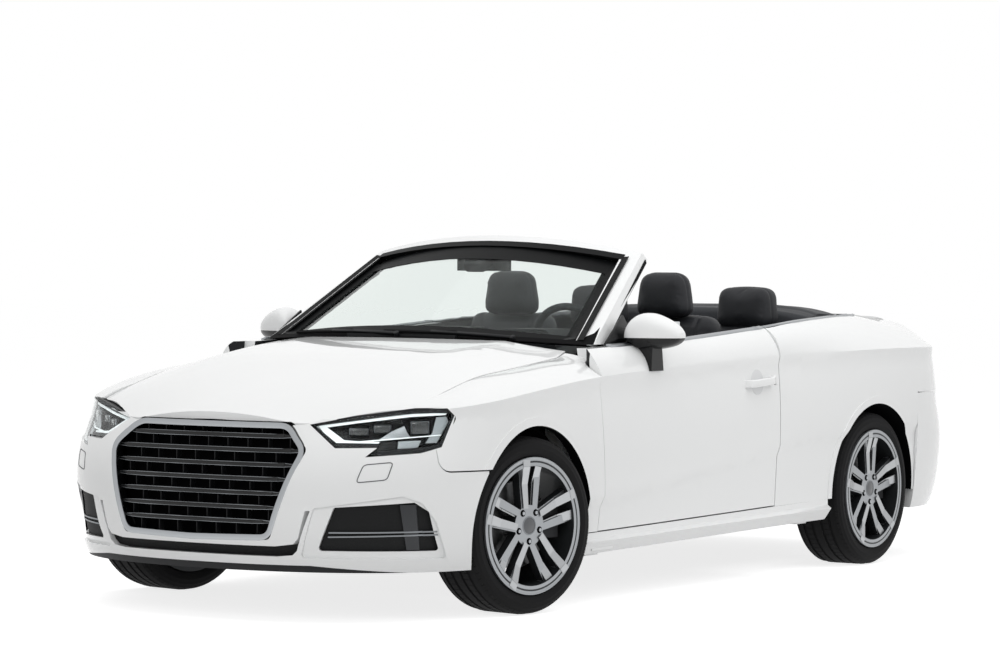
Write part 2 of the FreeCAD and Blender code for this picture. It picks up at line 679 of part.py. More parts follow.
def lid_profile(x, wall, low):
    """The lid's side outline at a place across: its deck, its rounded edge and its rear face."""
    front = LID_FRONT_SHARE * HALF_LENGTH
    across = abs(x) / (SIDE_SHARES[4][1] * HALF_WIDTH)
    narrow = (1 - across ** TAIL_POWER_SHARE) ** (1 / TAIL_POWER_SHARE)
    drop = (1 - (1 - across ** 2) ** 0.5) * LID_DROP

    def rear(z):
        return V(x, TAIL_START + smooth(TAIL_REACH_SHARES, z / HEIGHT) * HALF_LENGTH * narrow, z)

    lip = LID_LIP_SHARE * HEIGHT - drop
    edge = rear(lip)
    decks = []
    for y in spread(front, edge.y, 4)[:-1]:
        decks.append(V(x, y, height_at(DECK_SHARES, y) - drop))
    face_low, face_high = rear(low), rear((low + lip) / 2)
    inner = edge - V(0, wall * LID_CORNER_SHARE, wall)
    return chain([decks, [edge, face_high], [face_low],
                  [face_low - V(0, wall, 0)],
                  [inner], [V(x, front, decks[0].z - wall)]])


LID_PIVOT_SHARES = (0.480, 0.7765, 0.7335)


def boot_lid():
    """The boot lid: deck and rear face in one."""
    half = LID_HALF_SHARE * HALF_WIDTH
    wires = []
    for x in spread(-half, half, LID_SECTIONS):
        wires.append(lid_profile(x, LID_WALL, LID_LOW_SHARE * HEIGHT))
    pivot = place(LID_PIVOT_SHARES)
    ear = Part.makeCylinder(EAR_RADIUS, EAR_WALL, pivot, V(1, 0, 0))
    root = Part.makeBox(EAR_WALL, EAR_REACH, 2 * EAR_RADIUS, pivot)
    bore = Part.makeCylinder(PIN_RADIUS + RUN_GAP, EAR_WALL, pivot, V(1, 0, 0))
    return loft(wires).fuse(both(ear.fuse(root))).cut(both(bore))


BULKHEAD_FRONT_SHARE = 0.5256
BULKHEAD_WALL = 16.0
BULKHEAD_HALF_SHARE = 0.88
SHELF_SHARE = 0.6895


def rear_bulkhead():
    """The wall behind the rear bench, the shelf below the stowed top and the lid's hinge rail."""
    half = LID_HALF_SHARE * HALF_WIDTH
    foot = BOOT_FLOOR_SHARE * HEIGHT + FLOOR_WALL
    front, shelf = BULKHEAD_FRONT_SHARE * HALF_LENGTH, SHELF_SHARE * HEIGHT
    rear = LID_FRONT_SHARE * HALF_LENGTH - 2 * MOVE_GAP
    pivot = place(LID_PIVOT_SHARES)
    rail = pivot.z - 3 * EAR_RADIUS
    below = shelf - BULKHEAD_WALL
    side = [(front, foot), (front + BULKHEAD_WALL, foot), (front + BULKHEAD_WALL, below), (rear, below),
            (rear, rail), (rear - BULKHEAD_WALL, rail), (rear - BULKHEAD_WALL, shelf), (front, shelf)]
    wide = BULKHEAD_HALF_SHARE * HALF_WIDTH
    body = prism([V(-half, y, z) for y, z in side], V(2 * half, 0, 0))
    wings = Part.makeBox(2 * wide, BULKHEAD_WALL, shelf - foot, V(-wide, front, foot))
    ledge = Part.makeBox(2 * wide, rear - front, BULKHEAD_WALL, V(-wide, front, below))
    body = body.fuse([wings, ledge])
    stand = Part.makeBox(EAR_WALL, pivot.y - rear + BULKHEAD_WALL, 3 * EAR_RADIUS,
                         V(pivot.x + EAR_WALL + SEAT_GAP, rear - BULKHEAD_WALL, pivot.z - 4 * EAR_RADIUS))
    knob = Part.makeCylinder(EAR_RADIUS, EAR_WALL, pivot + V(EAR_WALL + SEAT_GAP, 0, 0), V(1, 0, 0))
    post = Part.makeBox(EAR_WALL, EAR_RADIUS, 2 * EAR_RADIUS,
                        V(pivot.x + EAR_WALL + SEAT_GAP, pivot.y - EAR_RADIUS, pivot.z - 2 * EAR_RADIUS))
    pin = Part.makeCylinder(PIN_RADIUS, 2 * EAR_WALL + SEAT_GAP, pivot, V(1, 0, 0))
    return body.fuse(both(stand.fuse([knob, post, pin])))


def quarter_top(y):
    """Inner edge of the quarter's upper side."""
    return V(smooth(BELT_X_SHARES, y / HALF_LENGTH) * HALF_WIDTH, y, height_at(BELT_SHARES, y))


REAR_ARCH = arch_cut(REAR_AXLE_Y, ARCH_RADIUS)
QUARTER_BULGE = 14.0


def quarter():
    """The left rear quarter, from the door back to the tail lamp."""
    start = DOOR_REAR_SHARE * HALF_LENGTH + PANEL_GAP
    end = QUARTER_END_SHARE * HALF_LENGTH
    body = side_panel(start, end, lambda y: height_at(SILL_TOP_SHARES, y) + SEAT_GAP, quarter_top, QUARTER_WALL,
                      11, QUARTER_BULGE)
    body = body.cut(REAR_ARCH)
    body = body.fuse(arch_lip(body, REAR_AXLE_Y)).cut(tail_lamp_space(SEAT_GAP))
    below = Part.makeBox(HALF_WIDTH, HALF_LENGTH, REAR_BUMPER_TOP_SHARE * HEIGHT + PANEL_GAP,
                         V(0, REAR_BUMPER_FRONT_SHARE * HALF_LENGTH - PANEL_GAP, 0))
    lid_room = Part.makeBox(LID_HALF_SHARE * HALF_WIDTH + PANEL_GAP, HALF_LENGTH, HEIGHT,
                            V(0, LID_FRONT_SHARE * HALF_LENGTH - PANEL_GAP, 0))
    return body.cut(below).cut(lid_room).cut(wheelhouse(REAR_AXLE_Y, REAR_TRACK, SEAT_GAP))


def tail_lamp_space(growth):
    """The space of the left tail lamp."""
    low = V(TAIL_LAMP_X_SHARE * HALF_WIDTH - growth, TAIL_LAMP_FRONT_SHARE * HALF_LENGTH - growth,
            LAMP_LOW_SHARE * HEIGHT - growth)
    height = (LAMP_HIGH_SHARE - LAMP_LOW_SHARE) * HEIGHT + 2 * growth
    return Part.makeBox(HALF_WIDTH, HALF_LENGTH, height, low)


TAIL_FORM = (TAIL_START, TAIL_REACH_SHARES, TAIL_POWER_SHARE)


def tail_lamps():
    """The two tail lamps, on the curve of the tail."""
    slab = wrap(LAMP_LOW_SHARE * HEIGHT - CUT_OVERRUN, LAMP_HIGH_SHARE * HEIGHT + CUT_OVERRUN, 0,
                TAIL_LAMP_DEPTH, TAIL_FORM)
    return pair(slab.common(tail_lamp_space(0)))


PLATE_SPACING = 290.0
PLATE_HOLE_RADIUS = 3.0
PLATE_SHARE = 0.44
EXHAUST_SHARES = ((-0.50, 0.80, 0.155), (0.50, 0.89, 0.235))
EXHAUST_PIPE = 30.0
EXHAUST_PIPE_SHARES = (0.36, 0.44)


def rear_bumper():
    """The wrap of the tail."""
    shell = wrap(REAR_BUMPER_LOW_SHARE * HEIGHT, REAR_BUMPER_TOP_SHARE * HEIGHT, 0, BUMPER_WALL, TAIL_FORM)
    ahead = Part.makeBox(BODY_WIDTH, HALF_LENGTH, HEIGHT,
                         V(-HALF_WIDTH, REAR_BUMPER_FRONT_SHARE * HALF_LENGTH - HALF_LENGTH, 0))
    holes = []
    for x in (-PLATE_SPACING / 2, PLATE_SPACING / 2):
        foot = V(x, 0, PLATE_SHARE * HEIGHT)
        holes.append(Part.makeCylinder(PLATE_HOLE_RADIUS, HALF_LENGTH, foot, V(0, 1, 0)))
    pipe_z = (EXHAUST_SHARES[0][2] + EXHAUST_SHARES[1][2]) / 2 * HEIGHT
    inner, outer = (share * HALF_WIDTH for share in EXHAUST_PIPE_SHARES)
    margin = EXHAUST_PIPE + MOVE_GAP
    notch = Part.makeBox(outer - inner + 2 * margin, HALF_LENGTH, pipe_z + margin, V(inner - margin, 0, 0))
    return shell.cut(ahead).cut(REAR_ARCH).cut(holes[0].fuse(holes[1:])).cut(both(notch))


# Wheels
DISC_RADIUS = 156.0
DISC_WALL = 22.0
DISC_INBOARD = 8.0
HUB_RADIUS = 74.0
HUB_BORE = 24.0
SPOKE_COUNT = 5
SPOKE_ROOT_HALF = 12.0
SPOKE_TIP_HALF = 17.0
SPOKE_DEPTH = 34.0
SPOKE_OFFSET = 22.0
SPOKE_SPLAY = 5.5
SPOKE_FACE = 94.0
TYRE_SHOULDER_SHARE = 0.955


def tyre():
    """A low tyre about the X axis, centred on its wheel plane."""
    half, rim_half = TYRE_WIDTH / 2, RIM_WIDTH / 2
    shoulder = TYRE_SHOULDER_SHARE * TYRE_RADIUS
    bead = RIM_RADIUS - RIM_WALL
    middle = (shoulder + bead) / 2
    outline = chain([
        [V(-rim_half, 0, bead)], [V(-rim_half, 0, RIM_RADIUS + SEAT_GAP), V(-half, 0, middle)],
        [V(-half + RIM_WALL, 0, shoulder)],
        [V(-rim_half + 2 * RIM_WALL, 0, TYRE_RADIUS)],
        [V(rim_half - 2 * RIM_WALL, 0, TYRE_RADIUS)], [V(half - RIM_WALL, 0, shoulder), V(half, 0, middle)],
        [V(rim_half, 0, RIM_RADIUS + SEAT_GAP)], [V(rim_half, 0, bead)]])
    return Part.Face(outline).revolve(V(0, 0, 0), V(1, 0, 0), 360)


def ring(low_x, high_x, inner, outer):
    """A round ring about the X axis."""
    outer_round = Part.makeCylinder(outer, high_x - low_x, V(low_x, 0, 0), V(1, 0, 0))
    return outer_round.cut(Part.makeCylinder(inner, high_x - low_x, V(low_x, 0, 0), V(1, 0, 0)))


def rim():
    """A five twin-spoke rim with its brake disc, about the X axis, its face towards +X."""
    half = RIM_WIDTH / 2 + SEAT_GAP
    seat = RIM_RADIUS - RIM_WALL - SEAT_GAP
    barrel = ring(-half, half, RIM_WELL_RADIUS, seat)
    lips = [ring(half, half + RIM_WALL, RIM_WELL_RADIUS, RIM_RADIUS),
            ring(-half - RIM_WALL, -half, RIM_WELL_RADIUS, RIM_RADIUS)]
    hub = ring(DISC_INBOARD + DISC_WALL, SPOKE_FACE, HUB_BORE, HUB_RADIUS)
    disc = ring(DISC_INBOARD, DISC_INBOARD + DISC_WALL, HUB_BORE, DISC_RADIUS)
    spokes = []
    for i in range(SPOKE_COUNT):
        for side in (-1, 1):
            back = SPOKE_FACE - SPOKE_DEPTH
            arm = prism([V(back, -SPOKE_ROOT_HALF, HUB_RADIUS / 2), V(back, SPOKE_ROOT_HALF, HUB_RADIUS / 2),
                         V(back, SPOKE_TIP_HALF, RIM_RADIUS), V(back, -SPOKE_TIP_HALF, RIM_RADIUS)],
                        V(SPOKE_DEPTH, 0, 0))
            arm.translate(V(0, side * SPOKE_OFFSET, 0))
            arm.rotate(V(0, 0, 0), V(1, 0, 0), i * 360 / SPOKE_COUNT - side * SPOKE_SPLAY)
            spokes.append(arm)
    room = Part.makeCylinder(RIM_WELL_RADIUS + RIM_WALL / 2, RIM_WIDTH, V(-half, 0, 0), V(1, 0, 0))
    spokes = spokes[0].fuse(spokes[1:]).common(room)
    return barrel.fuse(lips + [hub, disc, spokes])


def wheel_place(shape, side, track, axle_y, steered):
    """Puts a wheel's piece, modelled about the origin, on its axle."""
    placed = shape.copy() if side > 0 else shape.mirror(V(0, 0, 0), V(1, 0, 0))
    placed.translate(V(side * track / 2, axle_y, TYRE_RADIUS))
    if steered:
        placed.rotate(V(side * KINGPIN_X, axle_y, 0), V(0, 0, 1), REST_STEER)
    return placed


KINGPIN_INSET = 38.0
KINGPIN_X = FRONT_TRACK / 2 - KINGPIN_INSET
KINGPIN_RADIUS = 11.0
YOKE_HEIGHT = 22.0
YOKE_RADIUS = 26.0
KNUCKLE_HALF = 92.0
SPINDLE_RADIUS = HUB_BORE - RUN_GAP
CALIPER_RADIUS = 178.0
CALIPER_ARC = 52.0


def knuckle():
    """The left front knuckle before it is steered: upright, spindle and brake caliper."""
    centre = V(FRONT_TRACK / 2, FRONT_AXLE_Y, TYRE_RADIUS)
    foot = TYRE_RADIUS - KNUCKLE_HALF
    upright = Part.makeCylinder(YOKE_RADIUS, 2 * KNUCKLE_HALF, V(KINGPIN_X, FRONT_AXLE_Y, foot))
    pin = Part.makeCylinder(KINGPIN_RADIUS, 2 * KNUCKLE_HALF + 2 * YOKE_HEIGHT,
                            V(KINGPIN_X, FRONT_AXLE_Y, foot - YOKE_HEIGHT))
    spindle = Part.makeCylinder(SPINDLE_RADIUS, SPOKE_FACE + KINGPIN_INSET - MOVE_GAP,
                                V(KINGPIN_X, FRONT_AXLE_Y, TYRE_RADIUS), V(1, 0, 0))
    shield_x = centre.x + DISC_INBOARD - MOVE_GAP
    arm = Part.makeBox(shield_x - KINGPIN_X, CALIPER_RADIUS - YOKE_RADIUS, CALIPER_ARC,
                       V(KINGPIN_X, FRONT_AXLE_Y, TYRE_RADIUS - CALIPER_ARC / 2))
    return upright.fuse([pin, spindle, arm, caliper(centre)])


CALIPER_LENGTH = 92.0


def caliper(centre):
    """A brake caliper behind the axle, round the edge of the disc."""
    width = DISC_WALL + 2 * CALIPER_ARC * 0.5
    body = Part.makeBox(width, CALIPER_LENGTH, 2 * CALIPER_ARC,
                        V(centre.x + DISC_INBOARD + DISC_WALL / 2 - width / 2,
                          centre.y + CALIPER_RADIUS - CALIPER_LENGTH + RIM_WALL, centre.z - CALIPER_ARC))
    room = ring(DISC_INBOARD - PANEL_GAP, DISC_INBOARD + DISC_WALL + PANEL_GAP, SEAT_GAP,
                DISC_RADIUS + PANEL_GAP)
    room.translate(centre)
    rounded = Part.makeCylinder(RIM_WELL_RADIUS - MOVE_GAP, width * 2, centre - V(width, 0, 0), V(1, 0, 0))
    return body.common(rounded).cut(room)


STRUT_INSET = 142.0
STRUT_RADIUS = 30.0
STRUT_TOP_SHARE = 0.545
SUBFRAME_HALF = 380.0


def yoke(side):
    """Lugs, strut and arm that carry one front knuckle."""
    foot = TYRE_RADIUS - KNUCKLE_HALF
    leg_x = KINGPIN_X - STRUT_INSET
    pieces = []
    for z in (foot - YOKE_HEIGHT - SEAT_GAP, foot + 2 * KNUCKLE_HALF + SEAT_GAP):
        lug = Part.makeCylinder(YOKE_RADIUS, YOKE_HEIGHT, V(KINGPIN_X, FRONT_AXLE_Y, z))
        arm = Part.makeBox(STRUT_INSET, STRUT_RADIUS, YOKE_HEIGHT, V(leg_x, FRONT_AXLE_Y - STRUT_RADIUS / 2, z))
        bore = Part.makeCylinder(KINGPIN_RADIUS + RUN_GAP, YOKE_HEIGHT, V(KINGPIN_X, FRONT_AXLE_Y, z))
        pieces.append(lug.fuse(arm).cut(bore))
    strut = Part.makeCylinder(STRUT_RADIUS, STRUT_TOP_SHARE * HEIGHT - foot + YOKE_HEIGHT,
                              V(leg_x, FRONT_AXLE_Y, foot - YOKE_HEIGHT - SEAT_GAP))
    wishbone = Part.makeBox(leg_x - SUBFRAME_HALF, 2 * STRUT_RADIUS, YOKE_HEIGHT,
                            V(SUBFRAME_HALF, FRONT_AXLE_Y - STRUT_RADIUS, foot - YOKE_HEIGHT - SEAT_GAP))
    whole = strut.fuse(pieces + [wishbone])
    return whole if side > 0 else mirrored(whole)


SUBFRAME_LENGTH = 420.0
SUBFRAME_HEIGHT = 56.0


def front_subframe():
    """The front subframe with its arms and struts."""
    foot = TYRE_RADIUS - KNUCKLE_HALF - YOKE_HEIGHT - SEAT_GAP
    frame = Part.makeBox(2 * SUBFRAME_HALF, SUBFRAME_LENGTH, SUBFRAME_HEIGHT,
                         V(-SUBFRAME_HALF, FRONT_AXLE_Y - SUBFRAME_LENGTH / 3, foot))
    hole = Part.makeBox(SUBFRAME_HALF, SUBFRAME_LENGTH / 2, SUBFRAME_HEIGHT,
                        V(-SUBFRAME_HALF / 2, FRONT_AXLE_Y - SUBFRAME_LENGTH / 6, foot))
    return frame.cut(hole).fuse([yoke(1), yoke(-1)])


BEAM_HALF = 60.0
REAR_ARM_SHARE = 0.38
REAR_FOOT_SHARE = 0.15
SPRING_RADIUS = 52.0


def rear_axle():
    """The rear subframe, trailing arms, springs, hub carriers and calipers."""
    reach = REAR_TRACK / 2 - STRUT_INSET
    beam = Part.makeBox(2 * reach, 2 * BEAM_HALF, BEAM_HALF,
                        V(-reach, REAR_AXLE_Y - BEAM_HALF, REAR_FOOT_SHARE * HEIGHT))
    pieces = [beam]
    for side in (1, -1):
        centre = V(REAR_TRACK / 2, REAR_AXLE_Y, TYRE_RADIUS)
        spindle = Part.makeCylinder(SPINDLE_RADIUS, SPOKE_FACE + STRUT_INSET - MOVE_GAP,
                                    V(reach, REAR_AXLE_Y, TYRE_RADIUS), V(1, 0, 0))
        carrier = Part.makeBox(BEAM_HALF, 2 * BEAM_HALF, KNUCKLE_HALF * 2,
                               V(reach - BEAM_HALF / 2, REAR_AXLE_Y - BEAM_HALF, REAR_FOOT_SHARE * HEIGHT))
        holder = Part.makeBox(STRUT_INSET + DISC_INBOARD - MOVE_GAP, CALIPER_RADIUS, CALIPER_ARC,
                              V(reach, REAR_AXLE_Y, TYRE_RADIUS - CALIPER_ARC / 2))
        spring_foot = REAR_FOOT_SHARE * HEIGHT + BEAM_HALF
        spring = Part.makeCylinder(SPRING_RADIUS, BOOT_FLOOR_SHARE * HEIGHT - spring_foot,
                                   V(BOOT_HALF_SHARE * HALF_WIDTH - SPRING_RADIUS, REAR_AXLE_Y, spring_foot))
        arm_length = REAR_AXLE_Y - REAR_ARM_SHARE * HALF_LENGTH
        arm = Part.makeBox(BEAM_HALF, arm_length, BEAM_HALF,
                           V(reach - BEAM_HALF, REAR_AXLE_Y - arm_length, REAR_FOOT_SHARE * HEIGHT))
        group = spindle.fuse([carrier, holder, spring, arm, caliper(centre)])
        pieces.append(group if side > 0 else mirrored(group))
    return pieces[0].fuse(pieces[1:])


# Floor, bulkheads and side frames
FLOOR_LOW_SHARE = 0.142
FLOOR_WALL = 34.0
FLOOR_HALF_SHARE = 0.845
FLOOR_FRONT_SHARE = -0.412
FLOOR_REAR_SHARE = 0.245
TUNNEL_HALF = 130.0
TUNNEL_RISE = 150.0
BENCH_FLOOR_SHARE = 0.245
BOOT_FLOOR_SHARE = 0.300
BOOT_START_SHARE = 0.495
BOOT_END_SHARE = 0.985
BOOT_HALF_SHARE = 0.52
TUNNEL_SLOPE_SHARE = 0.55


def floor_pan():
    """The cabin floor with its tunnel, the raised floor below the rear bench and the boot floor."""
    low = FLOOR_LOW_SHARE * HEIGHT
    half = FLOOR_HALF_SHARE * HALF_WIDTH
    start, end = FLOOR_FRONT_SHARE * HALF_LENGTH, FLOOR_REAR_SHARE * HALF_LENGTH
    top = low + FLOOR_WALL
    slope = TUNNEL_HALF * TUNNEL_SLOPE_SHARE
    outline = [V(-half, start, low), V(-TUNNEL_HALF - FLOOR_WALL, start, low),
               V(-slope - FLOOR_WALL / 2, start, low + TUNNEL_RISE),
               V(slope + FLOOR_WALL / 2, start, low + TUNNEL_RISE), V(TUNNEL_HALF + FLOOR_WALL, start, low),
               V(half, start, low), V(half, start, top), V(TUNNEL_HALF + 2 * FLOOR_WALL, start, top),
               V(slope + FLOOR_WALL, start, top + TUNNEL_RISE),
               V(-slope - FLOOR_WALL, start, top + TUNNEL_RISE), V(-TUNNEL_HALF - 2 * FLOOR_WALL, start, top),
               V(-half, start, top)]
    cabin = prism(outline, V(0, end - start, 0))
    bench_z, boot_z = BENCH_FLOOR_SHARE * HEIGHT, BOOT_FLOOR_SHARE * HEIGHT
    boot_start, boot_end = BOOT_START_SHARE * HALF_LENGTH, BOOT_END_SHARE * HALF_LENGTH
    boot_half = BOOT_HALF_SHARE * HALF_WIDTH
    side = [(end - FLOOR_WALL, low), (end, low), (end, bench_z), (boot_start, bench_z), (boot_start, boot_z),
            (boot_end, boot_z), (boot_end, boot_z + FLOOR_WALL), (boot_start - FLOOR_WALL, boot_z + FLOOR_WALL),
            (boot_start - FLOOR_WALL, bench_z + FLOOR_WALL), (end - FLOOR_WALL, bench_z + FLOOR_WALL)]
    rear = prism([V(-boot_half, y, z) for y, z in side], V(2 * boot_half, 0, 0))
    return cabin.fuse(rear).cut(both(wheelhouse(REAR_AXLE_Y, REAR_TRACK, SEAT_GAP)))


STAND_DROP = 3.0


def pivot_stand(pivot, foot_z):
    """A stand beside a lid's ear, with the pin that the ear turns on."""
    side = V(EAR_WALL + SEAT_GAP, 0, 0)
    stand = Part.makeBox(EAR_WALL, 2 * PIN_RADIUS, pivot.z - foot_z,
                         V(pivot.x + EAR_WALL + SEAT_GAP, pivot.y - PIN_RADIUS, foot_z))
    knob = Part.makeCylinder(EAR_RADIUS - STAND_DROP, EAR_WALL, pivot + side, V(1, 0, 0))
    pin = Part.makeCylinder(PIN_RADIUS, 2 * EAR_WALL + SEAT_GAP, pivot, V(1, 0, 0))
    return stand.fuse([knob, pin])


COWL_TOP_SHARE = 0.645
COWL_HALF_SHARE = 0.735
COWL_REAR_SHARE = -0.372
COWL_RISER_SHARES = ((-0.28, -0.4235, 0.640), (0.28, -0.4130, 0.720))


def front_bulkhead():
    """The bulkhead ahead of the cabin with the cowl below the windscreen."""
    half = COWL_HALF_SHARE * HALF_WIDTH
    front = FLOOR_FRONT_SHARE * HALF_LENGTH - FLOOR_WALL
    foot = FLOOR_LOW_SHARE * HEIGHT
    wall = Part.makeBox(2 * half, FLOOR_WALL - SEAT_GAP, COWL_TOP_SHARE * HEIGHT - foot, V(-half, front, foot))
    shelf = Part.makeBox(2 * half, COWL_REAR_SHARE * HALF_LENGTH - front, FLOOR_WALL,
                         V(-half, front, COWL_TOP_SHARE * HEIGHT - FLOOR_WALL))
    riser = block(*COWL_RISER_SHARES).cut(screen_slab(0, 1, 0, 0, SCREEN_FRAME_WALL))
    riser = min(riser.Solids, key=lambda piece: piece.BoundBox.ZMin)
    return wall.fuse([shelf, riser, both(pivot_stand(place(HOOD_PIVOT_SHARES), COWL_TOP_SHARE * HEIGHT))])


# Front frame: rails, crossbeam, strut towers and the brackets of what they carry
RAIL_INNER_SHARE = 0.446
RAIL_SPAN = 70.0
RAIL_LOW_SHARE = 0.316
RAIL_END_SHARE = -0.908
BEAM_REACH_SHARE = 0.73
BEAM_DEPTH = 44.0
TOWER_HALF = 60.0
TOWER_WALL = 18.0
FENDER_LUG_SHARES = (0.786, 0.812)
FENDER_LUG_TOP_SHARE = 0.640
LAMP_POST_SHARES = ((0.625, -0.846, 0.310), (0.715, -0.808, 0.505))
CRADLE_WALL = 24.0
LINER_LUG = 30.0
RADIATOR_SHARES = ((-0.40, -0.880, 0.19), (0.40, -0.855, 0.47))
LINER_WALL = 10.0
STEER_ROOM = 175.0


def front_frame():
    """The two front rails with their crossbeam, strut towers, and brackets for what bolts to them."""
    inner, low = RAIL_INNER_SHARE * HALF_WIDTH, RAIL_LOW_SHARE * HEIGHT
    outer, high = inner + RAIL_SPAN, low + RAIL_SPAN
    rear = FLOOR_FRONT_SHARE * HALF_LENGTH - FLOOR_WALL - SEAT_GAP
    front = RAIL_END_SHARE * HALF_LENGTH
    rail = Part.makeBox(RAIL_SPAN, rear - front, RAIL_SPAN, V(inner, front, low))
    pieces = [rail]
    tower_low = STRUT_TOP_SHARE * HEIGHT
    leg_x = KINGPIN_X - STRUT_INSET
    pieces.append(Part.makeBox(CRADLE_WALL, 2 * TOWER_HALF, tower_low + TOWER_WALL - low,
                               V(outer - CRADLE_WALL, FRONT_AXLE_Y - TOWER_HALF, low)))
    lug_in, lug_out = (share * HALF_WIDTH for share in FENDER_LUG_SHARES)
    pieces.append(Part.makeBox(lug_out - outer + CRADLE_WALL, 2 * TOWER_HALF, TOWER_WALL,
                               V(outer - CRADLE_WALL, FRONT_AXLE_Y - TOWER_HALF, tower_low + SEAT_GAP)))
    pieces.append(Part.makeBox(lug_out - lug_in, 2 * TOWER_HALF, FENDER_LUG_TOP_SHARE * HEIGHT - tower_low,
                               V(lug_in, FRONT_AXLE_Y - TOWER_HALF, tower_low + SEAT_GAP)))
    pieces.append(block(*LAMP_POST_SHARES))
    post_low, post_high = place(LAMP_POST_SHARES[0]), place(LAMP_POST_SHARES[1])
    pieces.append(Part.makeBox(post_high.x - inner, post_high.y - post_low.y, RAIL_SPAN,
                               V(inner, post_low.y, low)))
    side = RADIATOR_SHARES[1][0] * HALF_WIDTH + SEAT_GAP
    radiator_low, radiator_high = place(RADIATOR_SHARES[0]), place(RADIATOR_SHARES[1])
    pieces.append(Part.makeBox(inner - side, radiator_high.y - radiator_low.y, high - radiator_low.z,
                               V(side, radiator_low.y, radiator_low.z)))
    liner_x = FRONT_TRACK / 2 - TYRE_WIDTH / 2 - STEER_ROOM - SEAT_GAP
    reach = ((ARCH_RADIUS + LINER_WALL / 2) ** 2 - (low + RAIL_SPAN / 2 - TYRE_RADIUS) ** 2) ** 0.5
    for y in (FRONT_AXLE_Y - reach, FRONT_AXLE_Y + reach):
        pieces.append(Part.makeBox(liner_x - outer, LINER_LUG, LINER_LUG,
                                   V(outer, y - LINER_LUG / 2, low + RAIL_SPAN / 2 - LINER_LUG / 2)))
    top = TYRE_RADIUS - KNUCKLE_HALF - YOKE_HEIGHT + SUBFRAME_HEIGHT
    start = FRONT_AXLE_Y - SUBFRAME_LENGTH / 3
    foot_x = SUBFRAME_HALF - 2 * CRADLE_WALL
    for y in (start, start + SUBFRAME_LENGTH - 2 * CRADLE_WALL):
        pieces.append(Part.makeBox(inner + CRADLE_WALL - foot_x, 2 * CRADLE_WALL, low - top, V(foot_x, y, top)))
    half = rail.fuse(pieces[1:])
    beam = Part.makeBox(2 * BEAM_REACH_SHARE * HALF_WIDTH, BEAM_DEPTH, RAIL_SPAN,
                        V(-BEAM_REACH_SHARE * HALF_WIDTH, front - BEAM_DEPTH, low))
    return beam.fuse([half, mirrored(half)])


POST_FRONT_SHARE = -0.425
POST_REAR_SHARE = -0.360
POST_TOP_SHARE = 0.620
SILL_END_SHARE = 0.392
PILLAR_STUB_SHARES = ((0.772, -0.3700, 0.600), (0.820, -0.3450, 0.720))
FENDER_BRACKET_SHARES = ((0.760, -0.4245, 0.430), (0.980, -0.4165, 0.460))
JACK_SHARES = (-0.400, 0.320)
JACK_X_SHARE = 0.900
JACK_WIDTH = 42.0
JACK_LENGTH = 90.0
JACK_DEPTH = 9.0
SILL_START_SHARE = -0.460


def side_frame():
    """The left sill with its skirt, and the hinge post at its front end."""
    wires = []
    for y in spread(SILL_START_SHARE * HALF_LENGTH, SILL_END_SHARE * HALF_LENGTH, 7):
        low, high = height_at(SILL_LOW_SHARES, y), height_at(SILL_TOP_SHARES, y)
        blade = side_point(SKIRT_X_SHARE, y, low + SKIRT_BAND)
        wires.append(chain([
            [side_point(SKIRT_LOW_X_SHARE, y, low)], [blade],
            [side_point(SILL_X_SHARE, y, high - SKIRT_BAND / 2)], [side_point(SILL_X_SHARE, y, high)],
            [V(FLOOR_HALF_SHARE * HALF_WIDTH + SEAT_GAP, y, high)],
            [V(FLOOR_HALF_SHARE * HALF_WIDTH + SEAT_GAP, y, low)]]))
    sill = loft(wires).cut(FRONT_ARCH).cut(REAR_ARCH)
    door_inner = BELT_X_SHARES[1][1] * HALF_WIDTH - DOOR_TOP_WALL - MOVE_GAP
    cowl = COWL_HALF_SHARE * HALF_WIDTH + SEAT_GAP
    foot = height_at(SILL_LOW_SHARES, 0)
    post = Part.makeBox(door_inner - cowl, (POST_REAR_SHARE - POST_FRONT_SHARE) * HALF_LENGTH,
                        POST_TOP_SHARE * HEIGHT - foot, V(cowl, POST_FRONT_SHARE * HALF_LENGTH, foot))
    floor_room = Part.makeBox(FLOOR_HALF_SHARE * HALF_WIDTH + SEAT_GAP - cowl, HALF_LENGTH,
                              FLOOR_WALL + 2 * SEAT_GAP,
                              V(cowl, FLOOR_FRONT_SHARE * HALF_LENGTH - SEAT_GAP,
                                FLOOR_LOW_SHARE * HEIGHT - SEAT_GAP))
    outer = Part.makeBox(HALF_WIDTH - cowl, (POST_REAR_SHARE - POST_FRONT_SHARE) * HALF_LENGTH, SKIRT_BAND,
                         V(cowl, POST_FRONT_SHARE * HALF_LENGTH, foot)).common(
        Part.makeBox(SILL_X_SHARE * HALF_WIDTH, BODY_WIDTH, HEIGHT, V(0, -BODY_WIDTH, 0)))
    pads = []
    for share in JACK_SHARES:
        y = share * HALF_LENGTH
        z = height_at(SILL_LOW_SHARES, y) - JACK_DEPTH
        pads.append(Part.makeBox(JACK_WIDTH, JACK_LENGTH, 2 * JACK_DEPTH,
                                 V(JACK_X_SHARE * HALF_WIDTH - JACK_WIDTH / 2, y - JACK_LENGTH / 2, z)))
    foot_low, foot_high = place(PILLAR_STUB_SHARES[0]), place(PILLAR_STUB_SHARES[1])
    stub = Part.makeBox(door_inner - foot_low.x, foot_high.y - foot_low.y, foot_high.z - foot_low.z, foot_low)
    stub = stub.cut(screen_slab(0, 1, 0, 0, SCREEN_FRAME_WALL))
    stub = min(stub.Solids, key=lambda piece: piece.BoundBox.ZMin)
    bracket = block(*FENDER_BRACKET_SHARES)
    return sill.fuse([post, outer, stub, bracket] + pads).cut(floor_room)


# Door hinges: lugs on the post carry pins that stand in bores of the door
HINGE_Z_SHARES = (0.33, 0.56)
LUG_HEIGHT = 34.0
LUG_RADIUS = 13.0
PIN_RADIUS = 7.0
PIN_REACH = 24.0


